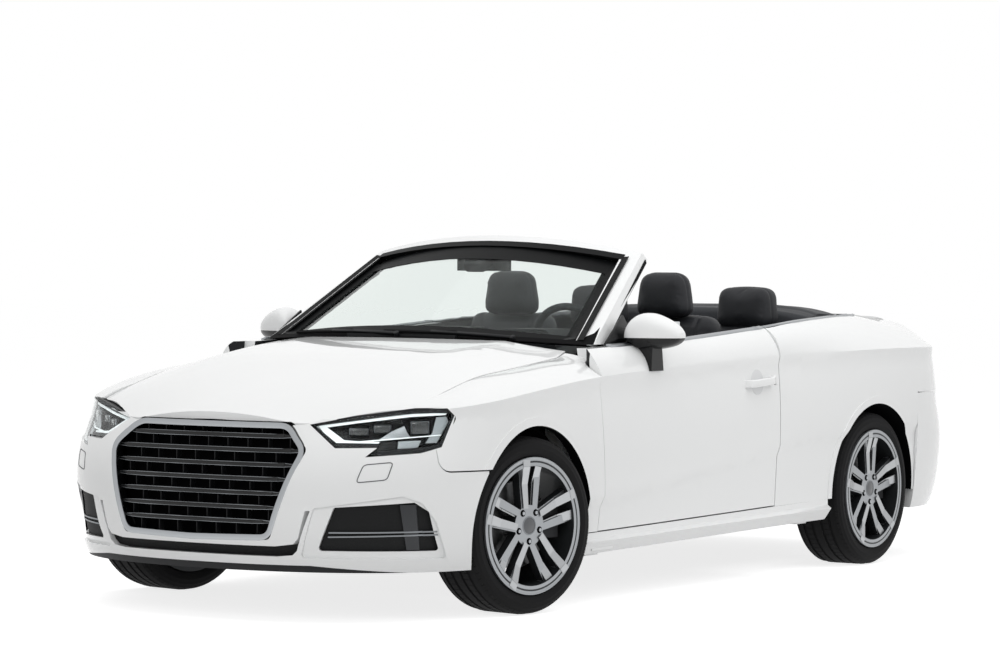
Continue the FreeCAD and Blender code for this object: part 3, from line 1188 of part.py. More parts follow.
def hinge_room():
    """The notches and bores in the left door round its hinge lugs."""
    pieces = []
    inner = SHOULDER_X_SHARE * HALF_WIDTH - 2 * DOOR_THICKNESS
    for share in HINGE_Z_SHARES:
        z = share * HEIGHT
        reach = HINGE_X + LUG_RADIUS + MOVE_GAP - inner
        pieces.append(Part.makeBox(reach, 2 * HINGE_SETBACK + LUG_RADIUS + MOVE_GAP, LUG_HEIGHT + 2 * PANEL_GAP,
                                   V(inner, HINGE_Y - 2 * HINGE_SETBACK, z - LUG_HEIGHT / 2 - PANEL_GAP)))
        pieces.append(Part.makeCylinder(PIN_RADIUS + RUN_GAP, LUG_HEIGHT + 2 * PIN_REACH + 2 * PANEL_GAP,
                                        V(HINGE_X, HINGE_Y, z - LUG_HEIGHT / 2 - PIN_REACH - PANEL_GAP)))
    return pieces[0].fuse(pieces[1:])


POST_INSET = 14.0


def hinge_lugs():
    """The lugs and pins on the left hinge post."""
    pieces = []
    post = COWL_HALF_SHARE * HALF_WIDTH + SEAT_GAP + POST_INSET
    for share in HINGE_Z_SHARES:
        z = share * HEIGHT - LUG_HEIGHT / 2
        foot = V(HINGE_X, HINGE_Y, z)
        root = V(post, HINGE_Y - LUG_RADIUS, z)
        pieces.append(Part.makeBox(HINGE_X - post, 2 * LUG_RADIUS, LUG_HEIGHT, root))
        pieces.append(Part.makeCylinder(LUG_RADIUS, LUG_HEIGHT, foot))
        pieces.append(Part.makeCylinder(PIN_RADIUS, LUG_HEIGHT + 2 * PIN_REACH, foot - V(0, 0, PIN_REACH)))
    return pieces


# Cabin
SEAT_LOW_SHARES = (0.190, -0.085, 0.185)
SEAT_HIGH_SHARES = (0.690, 0.185, 0.360)
SEAT_BACK_WALL = 130.0
HEADREST_SHARES = ((0.275, 0.150, 0.800), (0.555, 0.200, 0.895))
RAIL_WIDTH = 40.0
RAIL_SHARE = 0.8
SEAT_LEAN = 30.0
BACK_TOP_SHARE = 0.775


def front_seat():
    """The left front seat: rails, cushion, backrest and head restraint."""
    low, high = place(SEAT_LOW_SHARES), place(SEAT_HIGH_SHARES)
    floor = FLOOR_LOW_SHARE * HEIGHT + FLOOR_WALL + SEAT_GAP
    width = high.x - low.x
    cushion = Part.makeBox(width, high.y - low.y, high.z - low.z - RAIL_WIDTH, low + V(0, 0, RAIL_WIDTH))
    rails = []
    for x in (low.x + RAIL_WIDTH, high.x - 2 * RAIL_WIDTH):
        rails.append(Part.makeBox(RAIL_WIDTH, (high.y - low.y) * RAIL_SHARE, low.z + RAIL_WIDTH - floor,
                                  V(x, low.y + RAIL_WIDTH, floor)))
    back = [V(low.x, high.y - SEAT_BACK_WALL, low.z + RAIL_WIDTH), V(low.x, high.y, low.z + RAIL_WIDTH),
            V(low.x, high.y + SEAT_LEAN + SEAT_BACK_WALL / 2, BACK_TOP_SHARE * HEIGHT),
            V(low.x, high.y + SEAT_LEAN - SEAT_BACK_WALL / 4, BACK_TOP_SHARE * HEIGHT)]
    backrest = prism(back, V(width, 0, 0))
    rest_low, rest_high = place(HEADREST_SHARES[0]), place(HEADREST_SHARES[1])
    head = Part.makeBox(rest_high.x - rest_low.x, rest_high.y - rest_low.y,
                        rest_high.z - BACK_TOP_SHARE * HEIGHT + RAIL_WIDTH,
                        V(rest_low.x, rest_low.y, BACK_TOP_SHARE * HEIGHT - RAIL_WIDTH))
    return cushion.fuse(rails + [backrest, head])


BENCH_LOW_SHARES = (-0.515, 0.2455)
BENCH_HIGH_SHARES = (0.515, 0.470, 0.365)
BENCH_TOP_SHARE = 0.740
BENCH_BACK_WALL = 120.0
REAR_HEAD_SHARES = ((0.265, 0.455, 0.70), (0.555, 0.515, 0.848))


def rear_bench():
    """The rear bench with its backrest and two head restraints."""
    high = place(BENCH_HIGH_SHARES)
    low = V(BENCH_LOW_SHARES[0] * HALF_WIDTH, BENCH_LOW_SHARES[1] * HALF_LENGTH,
            BENCH_FLOOR_SHARE * HEIGHT + FLOOR_WALL + SEAT_GAP)
    cushion = Part.makeBox(high.x - low.x, high.y - low.y, high.z - low.z, low)
    back = [V(low.x, high.y - BENCH_BACK_WALL, low.z), V(low.x, high.y, low.z),
            V(low.x, high.y + SEAT_LEAN + BENCH_BACK_WALL / 2, BENCH_TOP_SHARE * HEIGHT),
            V(low.x, high.y + SEAT_LEAN - BENCH_BACK_WALL / 4, BENCH_TOP_SHARE * HEIGHT)]
    backrest = prism(back, V(high.x - low.x, 0, 0))
    head = block(*REAR_HEAD_SHARES)
    return cushion.fuse([backrest, head, mirrored(head)])


TOP_OUTLINE_SHARES = (
    (0.545, 0.6896), (0.55, 0.770), (0.61, 0.794), (0.70, 0.786), (0.748, 0.755), (0.748, 0.6896))
TOP_HALF_SHARE = 0.640
TOP_SECTION_SHARES = (-1.0, -0.8, -0.4, 0.0, 0.4, 0.8, 1.0)
TOP_DROP = 40.0
TOP_DRAW = 70.0


def soft_top():
    """The stowed fabric top, folded flat behind the rear bench."""
    wires = []
    for across in TOP_SECTION_SHARES:
        drop = TOP_DROP * abs(across) ** 3
        draw = TOP_DRAW * abs(across) ** 3
        x = across * TOP_HALF_SHARE * HALF_WIDTH
        points = [V(x, y * HALF_LENGTH, z * HEIGHT - (drop if i not in (0, 5) else 0))
                  for i, (y, z) in enumerate(TOP_OUTLINE_SHARES)]
        points = [V(p.x, p.y - (draw if p.y > points[2].y else 0), p.z) for p in points]
        wires.append(chain([points[:1], points[1:4], points[4:5], points[5:]]))
    return loft(wires)


DASH_OUTLINE_SHARES = (
    (-0.368, 0.400), (-0.368, 0.650), (-0.335, 0.672), (-0.280, 0.690), (-0.215, 0.684), (-0.200, 0.640),
    (-0.225, 0.560), (-0.250, 0.440))
HUMP_SHARES = ((0.235, -0.30, 0.640), (0.60, -0.21, 0.735))


def dashboard():
    """The dashboard, with a hump for the instruments."""
    half = COWL_HALF_SHARE * HALF_WIDTH
    points = [V(-half, y * HALF_LENGTH + SEAT_GAP, z * HEIGHT) for y, z in DASH_OUTLINE_SHARES]
    body = prism(points, V(2 * half, 0, 0))
    hump_low, hump_high = place(HUMP_SHARES[0]), place(HUMP_SHARES[1])
    hump = Part.makeCylinder((hump_high.x - hump_low.x) / 2, hump_high.y - hump_low.y,
                             V((hump_low.x + hump_high.x) / 2, hump_low.y, hump_low.z), V(0, 1, 0))
    over = Part.makeBox(BODY_WIDTH, HALF_LENGTH, HEIGHT, V(-HALF_WIDTH, -HALF_LENGTH, hump_high.z))
    return body.fuse(hump.cut(over)).removeSplitter()


CONSOLE_HALF = 108.0
CONSOLE_SPAN_SHARES = (-0.215, 0.165)
CONSOLE_RISE = 150.0


def centre_console():
    """The console on the tunnel, between the front seats."""
    start, end = CONSOLE_SPAN_SHARES
    foot = FLOOR_LOW_SHARE * HEIGHT + TUNNEL_RISE + FLOOR_WALL + SEAT_GAP
    return Part.makeBox(2 * CONSOLE_HALF, (end - start) * HALF_LENGTH, CONSOLE_RISE,
                        V(-CONSOLE_HALF, start * HALF_LENGTH, foot))


WHEEL_CENTRE_SHARES = (0.415, -0.125, 0.672)
STEERING_RADIUS = 184.0
STEERING_GRIP = 15.0
STEERING_TILT = 24.0
STEERING_BOSS = 62.0
STEERING_SHAFT = 265.0


def steering_wheel():
    """The steering wheel with its boss, three spokes and column shaft."""
    grip = Part.makeTorus(STEERING_RADIUS, STEERING_GRIP, V(0, 0, 0), V(0, 1, 0))
    boss = Part.makeCylinder(STEERING_BOSS, 2 * STEERING_GRIP, V(0, -STEERING_GRIP, 0), V(0, 1, 0))
    shaft = Part.makeCylinder(STEERING_GRIP, STEERING_SHAFT, V(0, -STEERING_SHAFT, 0), V(0, 1, 0))
    spokes = []
    for turn in (90, 180, 270):
        spoke = Part.makeBox(2 * STEERING_GRIP, STEERING_GRIP, STEERING_RADIUS,
                             V(-STEERING_GRIP, -STEERING_GRIP / 2, 0))
        spoke.rotate(V(0, 0, 0), V(0, 1, 0), turn)
        spokes.append(spoke)
    wheel = grip.fuse([boss, shaft] + spokes)
    wheel.rotate(V(0, 0, 0), V(1, 0, 0), STEERING_TILT)
    wheel.translate(place(WHEEL_CENTRE_SHARES))
    return wheel


MIRROR_STEM = 12.0
MIRROR_STEM_LENGTH = 120.0
INTERIOR_MIRROR_SHARES = ((-0.13, -0.175, 0.895), (0.13, -0.160, 0.945))


def interior_mirror():
    """The interior mirror on its stem below the glass."""
    head = block(*INTERIOR_MIRROR_SHARES)
    middle = (place(INTERIOR_MIRROR_SHARES[0]) + place(INTERIOR_MIRROR_SHARES[1])) / 2
    stem = Part.makeCylinder(MIRROR_STEM, MIRROR_STEM_LENGTH, middle, SCREEN_BACK * -1)
    ahead = screen_slab(SCREEN_FOOT_SHARE, HEADER_RISE_SHARE, PILLAR_WIDTH, -MIRROR_STEM_LENGTH,
                        2 * GLASS_WALL + SEAT_GAP)
    below = min(stem.cut(ahead).Solids, key=lambda piece: piece.BoundBox.ZMin)
    return head.fuse(below)


def shaft_room():
    """The bore in the dashboard for the steering shaft."""
    bore = Part.makeCylinder(STEERING_GRIP + RUN_GAP, 2 * STEERING_SHAFT, V(0, -STEERING_SHAFT - SEAT_GAP, 0),
                             V(0, 1, 0))
    bore.rotate(V(0, 0, 0), V(1, 0, 0), STEERING_TILT)
    bore.translate(place(WHEEL_CENTRE_SHARES))
    return bore


# Mirrors
MIRROR_SECTION_SHARES = (
    (0.880, -0.270, -0.222, 0.704, 0.730), (0.905, -0.276, -0.208, 0.688, 0.772),
    (0.945, -0.274, -0.204, 0.682, 0.784), (0.995, -0.268, -0.204, 0.684, 0.779),
    (1.045, -0.258, -0.206, 0.690, 0.764), (1.082, -0.246, -0.210, 0.700, 0.746),
    (1.098, -0.236, -0.216, 0.712, 0.730))
MIRROR_FOOT_SHARES = ((0.905, -0.258, -0.228, 0.700), (1.000, -0.262, -0.222, 0.625))
MIRROR_POINTS = 12
MIRROR_POWER_SHARE = 2.6


def oval(centre, half_y, half_z):
    """A closed smooth line round a centre, squarer than an ellipse."""
    points = []
    for turn in spread(0, 2 * pi, MIRROR_POINTS + 1)[:-1]:
        y = abs(cos(turn)) ** (2 / MIRROR_POWER_SHARE) * (1 if cos(turn) > 0 else -1)
        z = abs(sin(turn)) ** (2 / MIRROR_POWER_SHARE) * (1 if sin(turn) > 0 else -1)
        points.append(centre + V(0, y * half_y, z * half_z))
    line = Part.BSplineCurve()
    line.interpolate(points, PeriodicFlag=True)
    return Part.Wire(line.toShape())


def door_mirror():
    """The left door mirror: a drop-shaped head, fullest near the door, on a foot that stands on the skin."""
    wires = []
    for x, front, rear, low, high in MIRROR_SECTION_SHARES:
        centre = place((x, (front + rear) / 2, (low + high) / 2))
        wires.append(oval(centre, (rear - front) * HALF_LENGTH / 2, (high - low) * HEIGHT / 2))
    (x_in, top_front, top_rear, top), (x_out, low_front, low_rear, low) = MIRROR_FOOT_SHARES
    outline = [place((x_in, low_front, low)), place((x_in, low_rear, low)), place((x_in, top_rear, top)),
               place((x_in, top_front, top))]
    foot = prism(outline, V((x_out - x_in) * HALF_WIDTH, 0, 0))
    return loft(wires).fuse(foot)


ENGINE_SHARES = ((-0.36, -0.76), (0.36, -0.52, 0.575))


def engine_block():
    """One plain block for the engine and gearbox, on the front subframe."""
    high = place(ENGINE_SHARES[1])
    low = V(ENGINE_SHARES[0][0] * HALF_WIDTH, ENGINE_SHARES[0][1] * HALF_LENGTH,
            TYRE_RADIUS - KNUCKLE_HALF - YOKE_HEIGHT + SUBFRAME_HEIGHT)
    return Part.makeBox(high.x - low.x, high.y - low.y, high.z - low.z, low)


EXHAUST_ROUND = 30.0
EXHAUST_HANGER_SHARE = 0.30
EXHAUST_REACH_SHARE = 0.985


def exhaust():
    """The silencer with its hangers from the boot floor and its two tail pipes."""
    low, high = place(EXHAUST_SHARES[0]), place(EXHAUST_SHARES[1])
    silencer = block(*EXHAUST_SHARES)
    silencer = silencer.makeFillet(EXHAUST_ROUND, silencer.Edges)
    pieces = []
    for side in (1, -1):
        for share in EXHAUST_PIPE_SHARES:
            pipe = Part.makeCylinder(EXHAUST_PIPE, EXHAUST_REACH_SHARE * HALF_LENGTH - high.y + EXHAUST_ROUND,
                                     V(side * share * HALF_WIDTH, high.y - EXHAUST_ROUND, (low.z + high.z) / 2),
                                     V(0, 1, 0))
            pieces.append(pipe)
        hanger_low = (low.z + high.z) / 2
        pieces.append(Part.makeBox(CRADLE_WALL, CRADLE_WALL, BOOT_FLOOR_SHARE * HEIGHT - SEAT_GAP - hanger_low,
                                   V(side * EXHAUST_HANGER_SHARE * HALF_WIDTH - CRADLE_WALL / 2,
                                     (low.y + high.y) / 2, hanger_low)))
    return silencer.fuse(pieces)


REAR_ROOM = 60.0
LINER_SETBACK = 100.0


def wheelhouse(axle_y, track, growth):
    """The round space that a left wheel's liner lines."""
    room = STEER_ROOM if axle_y < 0 else REAR_ROOM
    inner = track / 2 - TYRE_WIDTH / 2 - room - growth
    outer = HALF_WIDTH - LINER_SETBACK + growth
    return Part.makeCylinder(ARCH_RADIUS + LINER_WALL + growth, outer - inner, V(inner, axle_y, TYRE_RADIUS),
                             V(1, 0, 0))


def liner(axle_y, track):
    """The left wheel's liner: half a drum over the wheel."""
    drum = wheelhouse(axle_y, track, 0)
    outer = 2 * ARCH_RADIUS
    below = Part.makeBox(HALF_WIDTH, 2 * outer, outer, V(0, axle_y - outer, TYRE_RADIUS - outer))
    return drum.cut(arch_cut(axle_y, ARCH_RADIUS)).cut(below)


def show(name, shape):
    """Writes one piece and says how it came out."""
    solid = shape.Solids[0] if len(shape.Solids) == 1 else shape
    solid.exportStep("parts/" + name + ".step")
    print(name, len(shape.Solids), shape.isValid(), round(shape.Volume / 1e6, 2), len(shape.Faces))


TANK_SHARES = ((-0.45, 0.27, 0.15), (0.45, 0.475, 0.2449))


def main():
    """Builds and writes every piece."""
    os.makedirs("parts", exist_ok=True)
    show("hood", hood())
    left_fender = fender()
    show("fender_left", left_fender)
    show("fender_right", mirrored(left_fender))
    left_door = door().cut(hinge_room())
    show("door_left", left_door)
    show("door_right", mirrored(left_door))
    frame = side_frame().fuse(hinge_lugs()).cut(left_fender)
    show("side_frame_left", frame)
    show("side_frame_right", mirrored(frame))
    left_quarter = quarter()
    show("quarter_left", left_quarter)
    show("quarter_right", mirrored(left_quarter))
    show("boot_lid", boot_lid())
    wall = rear_bulkhead().cut(both(left_quarter)).cut(both(wheelhouse(REAR_AXLE_Y, REAR_TRACK, SEAT_GAP)))
    show("rear_bulkhead", wall)
    show("windscreen_frame", windscreen_frame())
    show("windscreen_glass", windscreen_glass())
    bumper = front_bumper()
    show("front_bumper", bumper)
    show("grille", grille())
    show("lower_grilles", lower_grilles())
    lamps = headlamps()
    show("headlamps", lamps)
    carried = [bumper, left_fender, mirrored(left_fender)] + lamps.Solids
    show("front_frame", largest(front_frame().cut(carried)))
    show("headlamp_lenses", headlamp_lenses())
    tail = rear_bumper()
    show("rear_bumper", tail)
    show("tail_lamps", tail_lamps())
    show("floor_pan", floor_pan().cut(tail))
    show("front_bulkhead", front_bulkhead())
    show("front_seat_left", front_seat())
    show("front_seat_right", mirrored(front_seat()))
    show("rear_bench", rear_bench())
    show("soft_top", soft_top())
    show("dashboard", dashboard().cut(shaft_room()))
    show("centre_console", centre_console())
    show("steering_wheel", steering_wheel())
    left_mirror = largest(door_mirror().cut(left_door))
    show("mirror_left", left_mirror)
    show("mirror_right", mirrored(left_mirror))
    show("interior_mirror", interior_mirror())
    show("engine_block", engine_block())
    show("radiator", block(*RADIATOR_SHARES))
    show("fuel_tank", block(*TANK_SHARES))
    show("exhaust", exhaust())
    show("front_subframe", front_subframe())
    show("rear_axle", rear_axle())
    strut_foot = V(KINGPIN_X - STRUT_INSET, FRONT_AXLE_Y, 0)
    strut_room = Part.makeCylinder(STRUT_RADIUS + SEAT_GAP, HEIGHT, strut_foot)
    front_liner = liner(FRONT_AXLE_Y, FRONT_TRACK).cut(strut_room)
    rear_liner = liner(REAR_AXLE_Y, REAR_TRACK)
    liners = [front_liner, mirrored(front_liner), rear_liner, mirrored(rear_liner)]
    show("wheel_liners", Part.makeCompound(liners))
    left_knuckle = knuckle()
    right_knuckle = mirrored(left_knuckle)
    for side, name, piece in ((1, "left", left_knuckle), (-1, "right", right_knuckle)):
        turned = piece.copy()
        turned.rotate(V(side * KINGPIN_X, FRONT_AXLE_Y, 0), V(0, 0, 1), REST_STEER)
        show("knuckle_" + name, turned)
    whole_tyre, whole_rim = tyre(), rim()
    for side, letter in ((1, "l"), (-1, "r")):
        for end, track, axle_y in (("f", FRONT_TRACK, FRONT_AXLE_Y), ("r", REAR_TRACK, REAR_AXLE_Y)):
            name = end + letter
            show("tyre_" + name, wheel_place(whole_tyre, side, track, axle_y, end == "f"))
            show("rim_" + name, wheel_place(whole_rim, side, track, axle_y, end == "f"))


main()
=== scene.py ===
"""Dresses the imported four-seat convertible: paint, lamps, grille, wheels, cabin and folded top."""
import json
import logging
import math
from contextlib import contextmanager
from dataclasses import dataclass, field
from enum import Enum
from typing import Callable, Iterable, Iterator, Optional, Sequence

import bmesh
import bpy
from mathutils import Matrix, Vector
from mathutils.bvhtree import BVHTree

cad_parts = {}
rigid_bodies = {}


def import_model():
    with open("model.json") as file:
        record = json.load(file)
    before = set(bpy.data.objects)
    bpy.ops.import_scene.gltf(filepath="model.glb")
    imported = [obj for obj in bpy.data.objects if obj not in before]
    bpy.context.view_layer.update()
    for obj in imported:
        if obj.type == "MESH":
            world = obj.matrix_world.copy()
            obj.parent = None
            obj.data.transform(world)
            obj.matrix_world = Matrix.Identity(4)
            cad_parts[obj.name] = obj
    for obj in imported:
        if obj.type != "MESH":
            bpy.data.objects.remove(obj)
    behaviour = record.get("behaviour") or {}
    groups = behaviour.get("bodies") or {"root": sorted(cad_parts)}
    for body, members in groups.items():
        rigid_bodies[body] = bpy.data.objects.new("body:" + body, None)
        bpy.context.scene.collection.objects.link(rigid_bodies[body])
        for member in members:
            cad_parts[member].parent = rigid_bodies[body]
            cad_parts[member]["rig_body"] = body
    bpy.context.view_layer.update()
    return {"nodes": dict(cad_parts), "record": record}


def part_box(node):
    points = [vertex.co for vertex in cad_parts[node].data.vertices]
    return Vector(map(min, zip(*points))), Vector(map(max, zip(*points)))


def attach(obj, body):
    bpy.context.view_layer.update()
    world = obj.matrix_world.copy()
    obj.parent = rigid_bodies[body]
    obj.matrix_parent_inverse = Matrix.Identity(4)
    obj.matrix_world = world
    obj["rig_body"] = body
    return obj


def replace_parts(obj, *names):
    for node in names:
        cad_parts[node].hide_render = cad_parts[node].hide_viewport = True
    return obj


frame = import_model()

LOG = logging.getLogger("convertible")
MM = 0.001
MERGE = 0.01 * MM
# Where a search from ahead of the car begins
AHEAD = -3.0
BACKWARD = Vector((0, 1, 0))
UP = Vector((0, 0, 1))


class Body(Enum):
    """The bodies of the model that pieces ride on."""

    CAR = "car"
    HOOD = "hood_body"
    BOOT = "boot_body"
    LEFT_DOOR = "left_door"
    RIGHT_DOOR = "right_door"
    STEERING = "steering"
    LEFT_KNUCKLE = "left_knuckle"
    RIGHT_KNUCKLE = "right_knuckle"
    FRONT_LEFT = "wheel_fl"
    FRONT_RIGHT = "wheel_fr"
    REAR_LEFT = "wheel_rl"
    REAR_RIGHT = "wheel_rr"


DOORS = ((1, "left", Body.LEFT_DOOR), (-1, "right", Body.RIGHT_DOOR))


def linear(code: str) -> tuple[float, float, float, float]:
    """Turns an sRGB hex value to linear colour.

    Args:
        code: the colour, such as "#f2f3f2".

    Returns:
        Linear red, green and blue, and an alpha of 1.
    """
    shares = [int(code[i:i + 2], 16) / 255 for i in (1, 3, 5)]
    values = [s / 12.92 if s <= 0.04045 else ((s + 0.055) / 1.055) ** 2.4 for s in shares]
    return (values[0], values[1], values[2], 1.0)


def add_node(tree: bpy.types.NodeTree, kind: str, settings: Optional[dict] = None,
             values: Optional[dict] = None, links: Optional[dict] = None) -> bpy.types.Node:
    """Adds a node with its settings, socket values and incoming links.

    Args:
        tree: the tree that gets the node.
        kind: Blender's name of the node's type.
        settings: properties of the node.
        values: input socket values by name or number.
        links: input sockets by name or number, each with the output socket that feeds it.

    Returns:
        The new node.
    """
    node = tree.nodes.new(kind)
    for key, value in (settings or {}).items():
        setattr(node, key, value)
    for key, value in (values or {}).items():
        node.inputs[key].default_value = value
    for key, source in (links or {}).items():
        tree.links.new(source, node.inputs[key])
    return node


@dataclass(frozen=True)
class Finish:
    """A finish of one real material, or of painted light or shade: its colour and how its surface was made.
    """

    name: str
    colour: str
    roughness: float
    metallic: float = 0.0
    ior: float = 1.5
    coat: float = 0.0
    coat_roughness: float = 0.03
    transmission: float = 0.0
    sheen: float = 0.0
    specular: float = 0.5
    emission: float = 0.0
    grain_mm: float = 0.0
    grain_depth: float = 0.0
    weave_mm: float = 0.0
    cell_mm: float = 0.0

    def build(self) -> bpy.types.Material:
        """Makes the material once and returns it."""
        known = bpy.data.materials.get(self.name)
        if known:
            return known
        material = bpy.data.materials.new(self.name)
        material.use_nodes = True
        tree = material.node_tree
        shader = tree.nodes["Principled BSDF"]
        values = {"Base Color": linear(self.colour), "Roughness": self.roughness, "Metallic": self.metallic,
                  "IOR": self.ior, "Coat Weight": self.coat, "Coat Roughness": self.coat_roughness,
                  "Transmission Weight": self.transmission, "Sheen Weight": self.sheen,
                  "Specular IOR Level": self.specular}
        if self.emission:
            values |= {"Emission Color": linear(self.colour), "Emission Strength": self.emission}
        for socket, value in values.items():
            shader.inputs[socket].default_value = value
        if self.grain_mm or self.weave_mm or self.cell_mm:
            self.relief(tree, shader)
        if self.transmission:
            self.open_to_light(tree, shader)
        return material

    def open_to_light(self, tree: bpy.types.NodeTree, shader: bpy.types.Node) -> None:
        """Lets the lamps shine through a clear finish, as thin glass does.

        Args:
            tree: the material's tree.
            shader: the clear shader.
        """
        path = add_node(tree, "ShaderNodeLightPath")
        clear = add_node(tree, "ShaderNodeBsdfTransparent", None, {"Color": linear(self.colour)})
        mixed = add_node(tree, "ShaderNodeMixShader", None, None,
                         {0: path.outputs["Is Shadow Ray"], 1: shader.outputs[0], 2: clear.outputs[0]})
        tree.links.new(mixed.outputs[0], tree.nodes["Material Output"].inputs["Surface"])

    def relief(self, tree: bpy.types.NodeTree, shader: bpy.types.Node) -> None:
        """Adds the grain, weave or cells as relief, sized from their real millimetres.

        Args:
            tree: the material's tree.
            shader: the shader that takes the relief.
        """
        size_mm = self.cell_mm or self.weave_mm or self.grain_mm
        place = add_node(tree, "ShaderNodeTexCoord")
        if self.cell_mm:
            kind, settings, values = "Voronoi", {"feature": "DISTANCE_TO_EDGE"}, {"Randomness": 0.25}
        elif self.weave_mm:
            # A wave texture shows about three bands in each unit of its scale
            kind, settings, values = "Wave", {"bands_direction": "DIAGONAL"}, {"Distortion": 0.4}
            size_mm *= 3
        else:
            kind, settings, values = "Noise", None, {"Detail": 3.0}
        rows = add_node(tree, "ShaderNodeTex" + kind, settings, values | {"Scale": 1 / (size_mm * MM)},
                        {"Vector": place.outputs["Object"]})
        height = rows.outputs["Fac" if self.weave_mm else 0]
        bump = add_node(tree, "ShaderNodeBump", None, {"Strength": 0.5, "Distance": self.grain_depth * MM},
                        {"Height": height})
        tree.links.new(bump.outputs["Normal"], shader.inputs["Normal"])


# Two-layer polyester paint: flat white under a hard clear coat that mirrors softly
PAINT = Finish("white_clearcoat_paint", "#eff0f0", 0.45, coat=1.0, coat_roughness=0.02)
# Moulded polypropylene: near black with a dull, finely grained face
MOULDED_PLASTIC = Finish("moulded_polypropylene", "#111214", 0.55, specular=0.25, grain_mm=1.6,
                         grain_depth=0.1)
# Piano black: polished ABS
GLOSS_BLACK = Finish("polished_black_abs", "#070809", 0.2, specular=0.3)
# Laminated glass with a faint grey-green tint
LAMINATED_GLASS = Finish("tinted_laminated_glass", "#e6edea", 0.0, ior=1.14, transmission=1.0)
# Polycarbonate lamp cover: clear and colourless
CLEAR_POLYCARBONATE = Finish("clear_polycarbonate", "#f7fafa", 0.0, ior=1.16, transmission=1.0)
# Satin anodised aluminium: soft silver
SATIN_ALUMINIUM = Finish("satin_anodised_aluminium", "#a3a6a9", 0.32, metallic=1.0)
# Dull drawn aluminium of the slats' edges
SLAT_ALUMINIUM = Finish("dull_drawn_aluminium", "#7e8184", 0.4, metallic=1.0)
# Lacquered cast aluminium alloy of the wheels
WHEEL_ALLOY = Finish("lacquered_cast_alloy", "#989b9e", 0.38, metallic=0.85, coat=0.3)
# The wheel alloy made brighter for the spokes' front faces: painted highlight, under clear lacquer
ALLOY_PAINTED_HIGHLIGHT = Finish("alloy_painted_front_highlight", "#a9abad", 0.34, metallic=1.0, coat=0.2)
# Painted shade on the cast wheel's pockets, spoke chamfers, barrel and well: the silver alloy darkened to
# grey
ALLOY_PAINTED_SHADE = Finish("alloy_painted_pocket_shade", "#26282a", 0.5, metallic=0.5, coat=0.1)
# Plain dark cap of the wheel
CAP_GREY = Finish("grey_moulded_cap", "#4a4c4f", 0.35, coat=0.4)
# Bright vapour-coated mirror glass
REFLECTOR = Finish("vapour_coated_reflector", "#d9dcdd", 0.12, metallic=1.0)
# Turned grey cast iron of the brake discs
TURNED_IRON = Finish("turned_cast_iron", "#7c7d7e", 0.38, metallic=1.0)
# Sand-cast iron, dark and rough
CAST_IRON = Finish("sand_cast_iron", "#3c3d3f", 0.7, metallic=0.6, grain_mm=3.0, grain_depth=0.3)
# Painted pressed steel below the car
CHASSIS_STEEL = Finish("painted_chassis_steel", "#2a2b2d", 0.6)
# Tyre rubber: carbon black and dull
TYRE_RUBBER = Finish("tyre_rubber", "#121213", 0.8, specular=0.2, grain_mm=2.0, grain_depth=0.12)
# Nappa leather: dark grey with a fine pebbled grain
SEAT_LEATHER = Finish("dark_grey_leather", "#26272a", 0.55, specular=0.35, grain_mm=2.2, grain_depth=0.25)
# Grained soft-touch skin of the dashboard
DASH_SKIN = Finish("grained_soft_touch_skin", "#191a1c", 0.65, specular=0.25, grain_mm=2.0, grain_depth=0.2)
# Needle-punched carpet
CARPET = Finish("needled_carpet", "#151617", 0.95, sheen=0.3, grain_mm=2.5, grain_depth=0.8)
# Acrylic roof cloth: twill weave with a faint sheen
ROOF_CLOTH = Finish("acrylic_twill_cloth", "#292b2f", 0.9, sheen=0.2, weave_mm=1.6, grain_depth=0.3)
# Red moulded acrylic of the tail lamps
RED_ACRYLIC = Finish("red_moulded_acrylic", "#7d0709", 0.12, specular=0.3, coat=0.15)
# Brighter red acrylic of the tail lamps' raised bars
GLOWING_RED = Finish("bright_red_acrylic", "#c4191b", 0.2, specular=0.3, emission=0.15)
# Light guide of milky acrylic: glows faintly, as the photograph shows it
LIGHT_GUIDE = Finish("milky_acrylic_light_guide", "#e6e9ea", 0.3, emission=0.12)
# Black moulded insert of the intakes: honeycombed and dull
INTAKE_BLACK = Finish("black_moulded_insert", "#0a0b0c", 0.7, specular=0.25, cell_mm=14.0, grain_depth=2.0)
# Black felt lining of the wheel arches: takes up nearly all light. The same near black is painted shade on
# the arches' painted inner sides, behind the grille and in the wheels' bolt wells
FELT_AND_PAINTED_SHADE = Finish("black_felt_and_painted_shade", "#050506", 0.95, specular=0.05)
# Darkly chromed lens of a lamp unit
DARK_LENS = Finish("smoked_glass_lens", "#0c0e10", 0.04, coat=1.0)
# Matt black housing inside the lamps
LAMP_BLACK = Finish("matt_black_lamp_housing", "#0b0c0e", 0.45, specular=0.3)
# Frosted grey polycarbonate of the turn lamps
FROSTED_GREY = Finish("frosted_grey_polycarbonate", "#8b8f92", 0.4, coat=0.2)
# Smoked grey plastic of the intake's upright
SMOKED_PLASTIC = Finish("smoked_grey_plastic", "#2a2c2f", 0.35, specular=0.4)
# The dark line of a closed joint, and painted shade along the plate recess's step
SHADOW_LINE = Finish("dark_joint_and_step_shade_line", "#5c5e60", 0.8)
# Black enamel printed on the glass's edge: matt, so that it stays dark. Its wide top band is also painted
# shade of what lies behind the glass under the header
FRIT_AND_PAINTED_SHADE = Finish("black_glass_enamel", "#08090a", 0.5, specular=0.12)
# Extruded rubber seals: matt black
SEAL_RUBBER = Finish("extruded_seal_rubber", "#0d0d0e", 0.8, specular=0.1)
# The same paint darkened as painted shade in a handle's cup
SHADOWED_PAINT = Finish("white_paint_painted_cup_shade", "#dddedf", 0.35, coat=1.0)


def place_in_scene(name: str, mesh: bpy.types.Mesh) -> bpy.types.Object:
    """Links a mesh as an object at the origin."""
    piece = bpy.data.objects.new(name, mesh)
    bpy.context.scene.collection.objects.link(piece)
    return piece


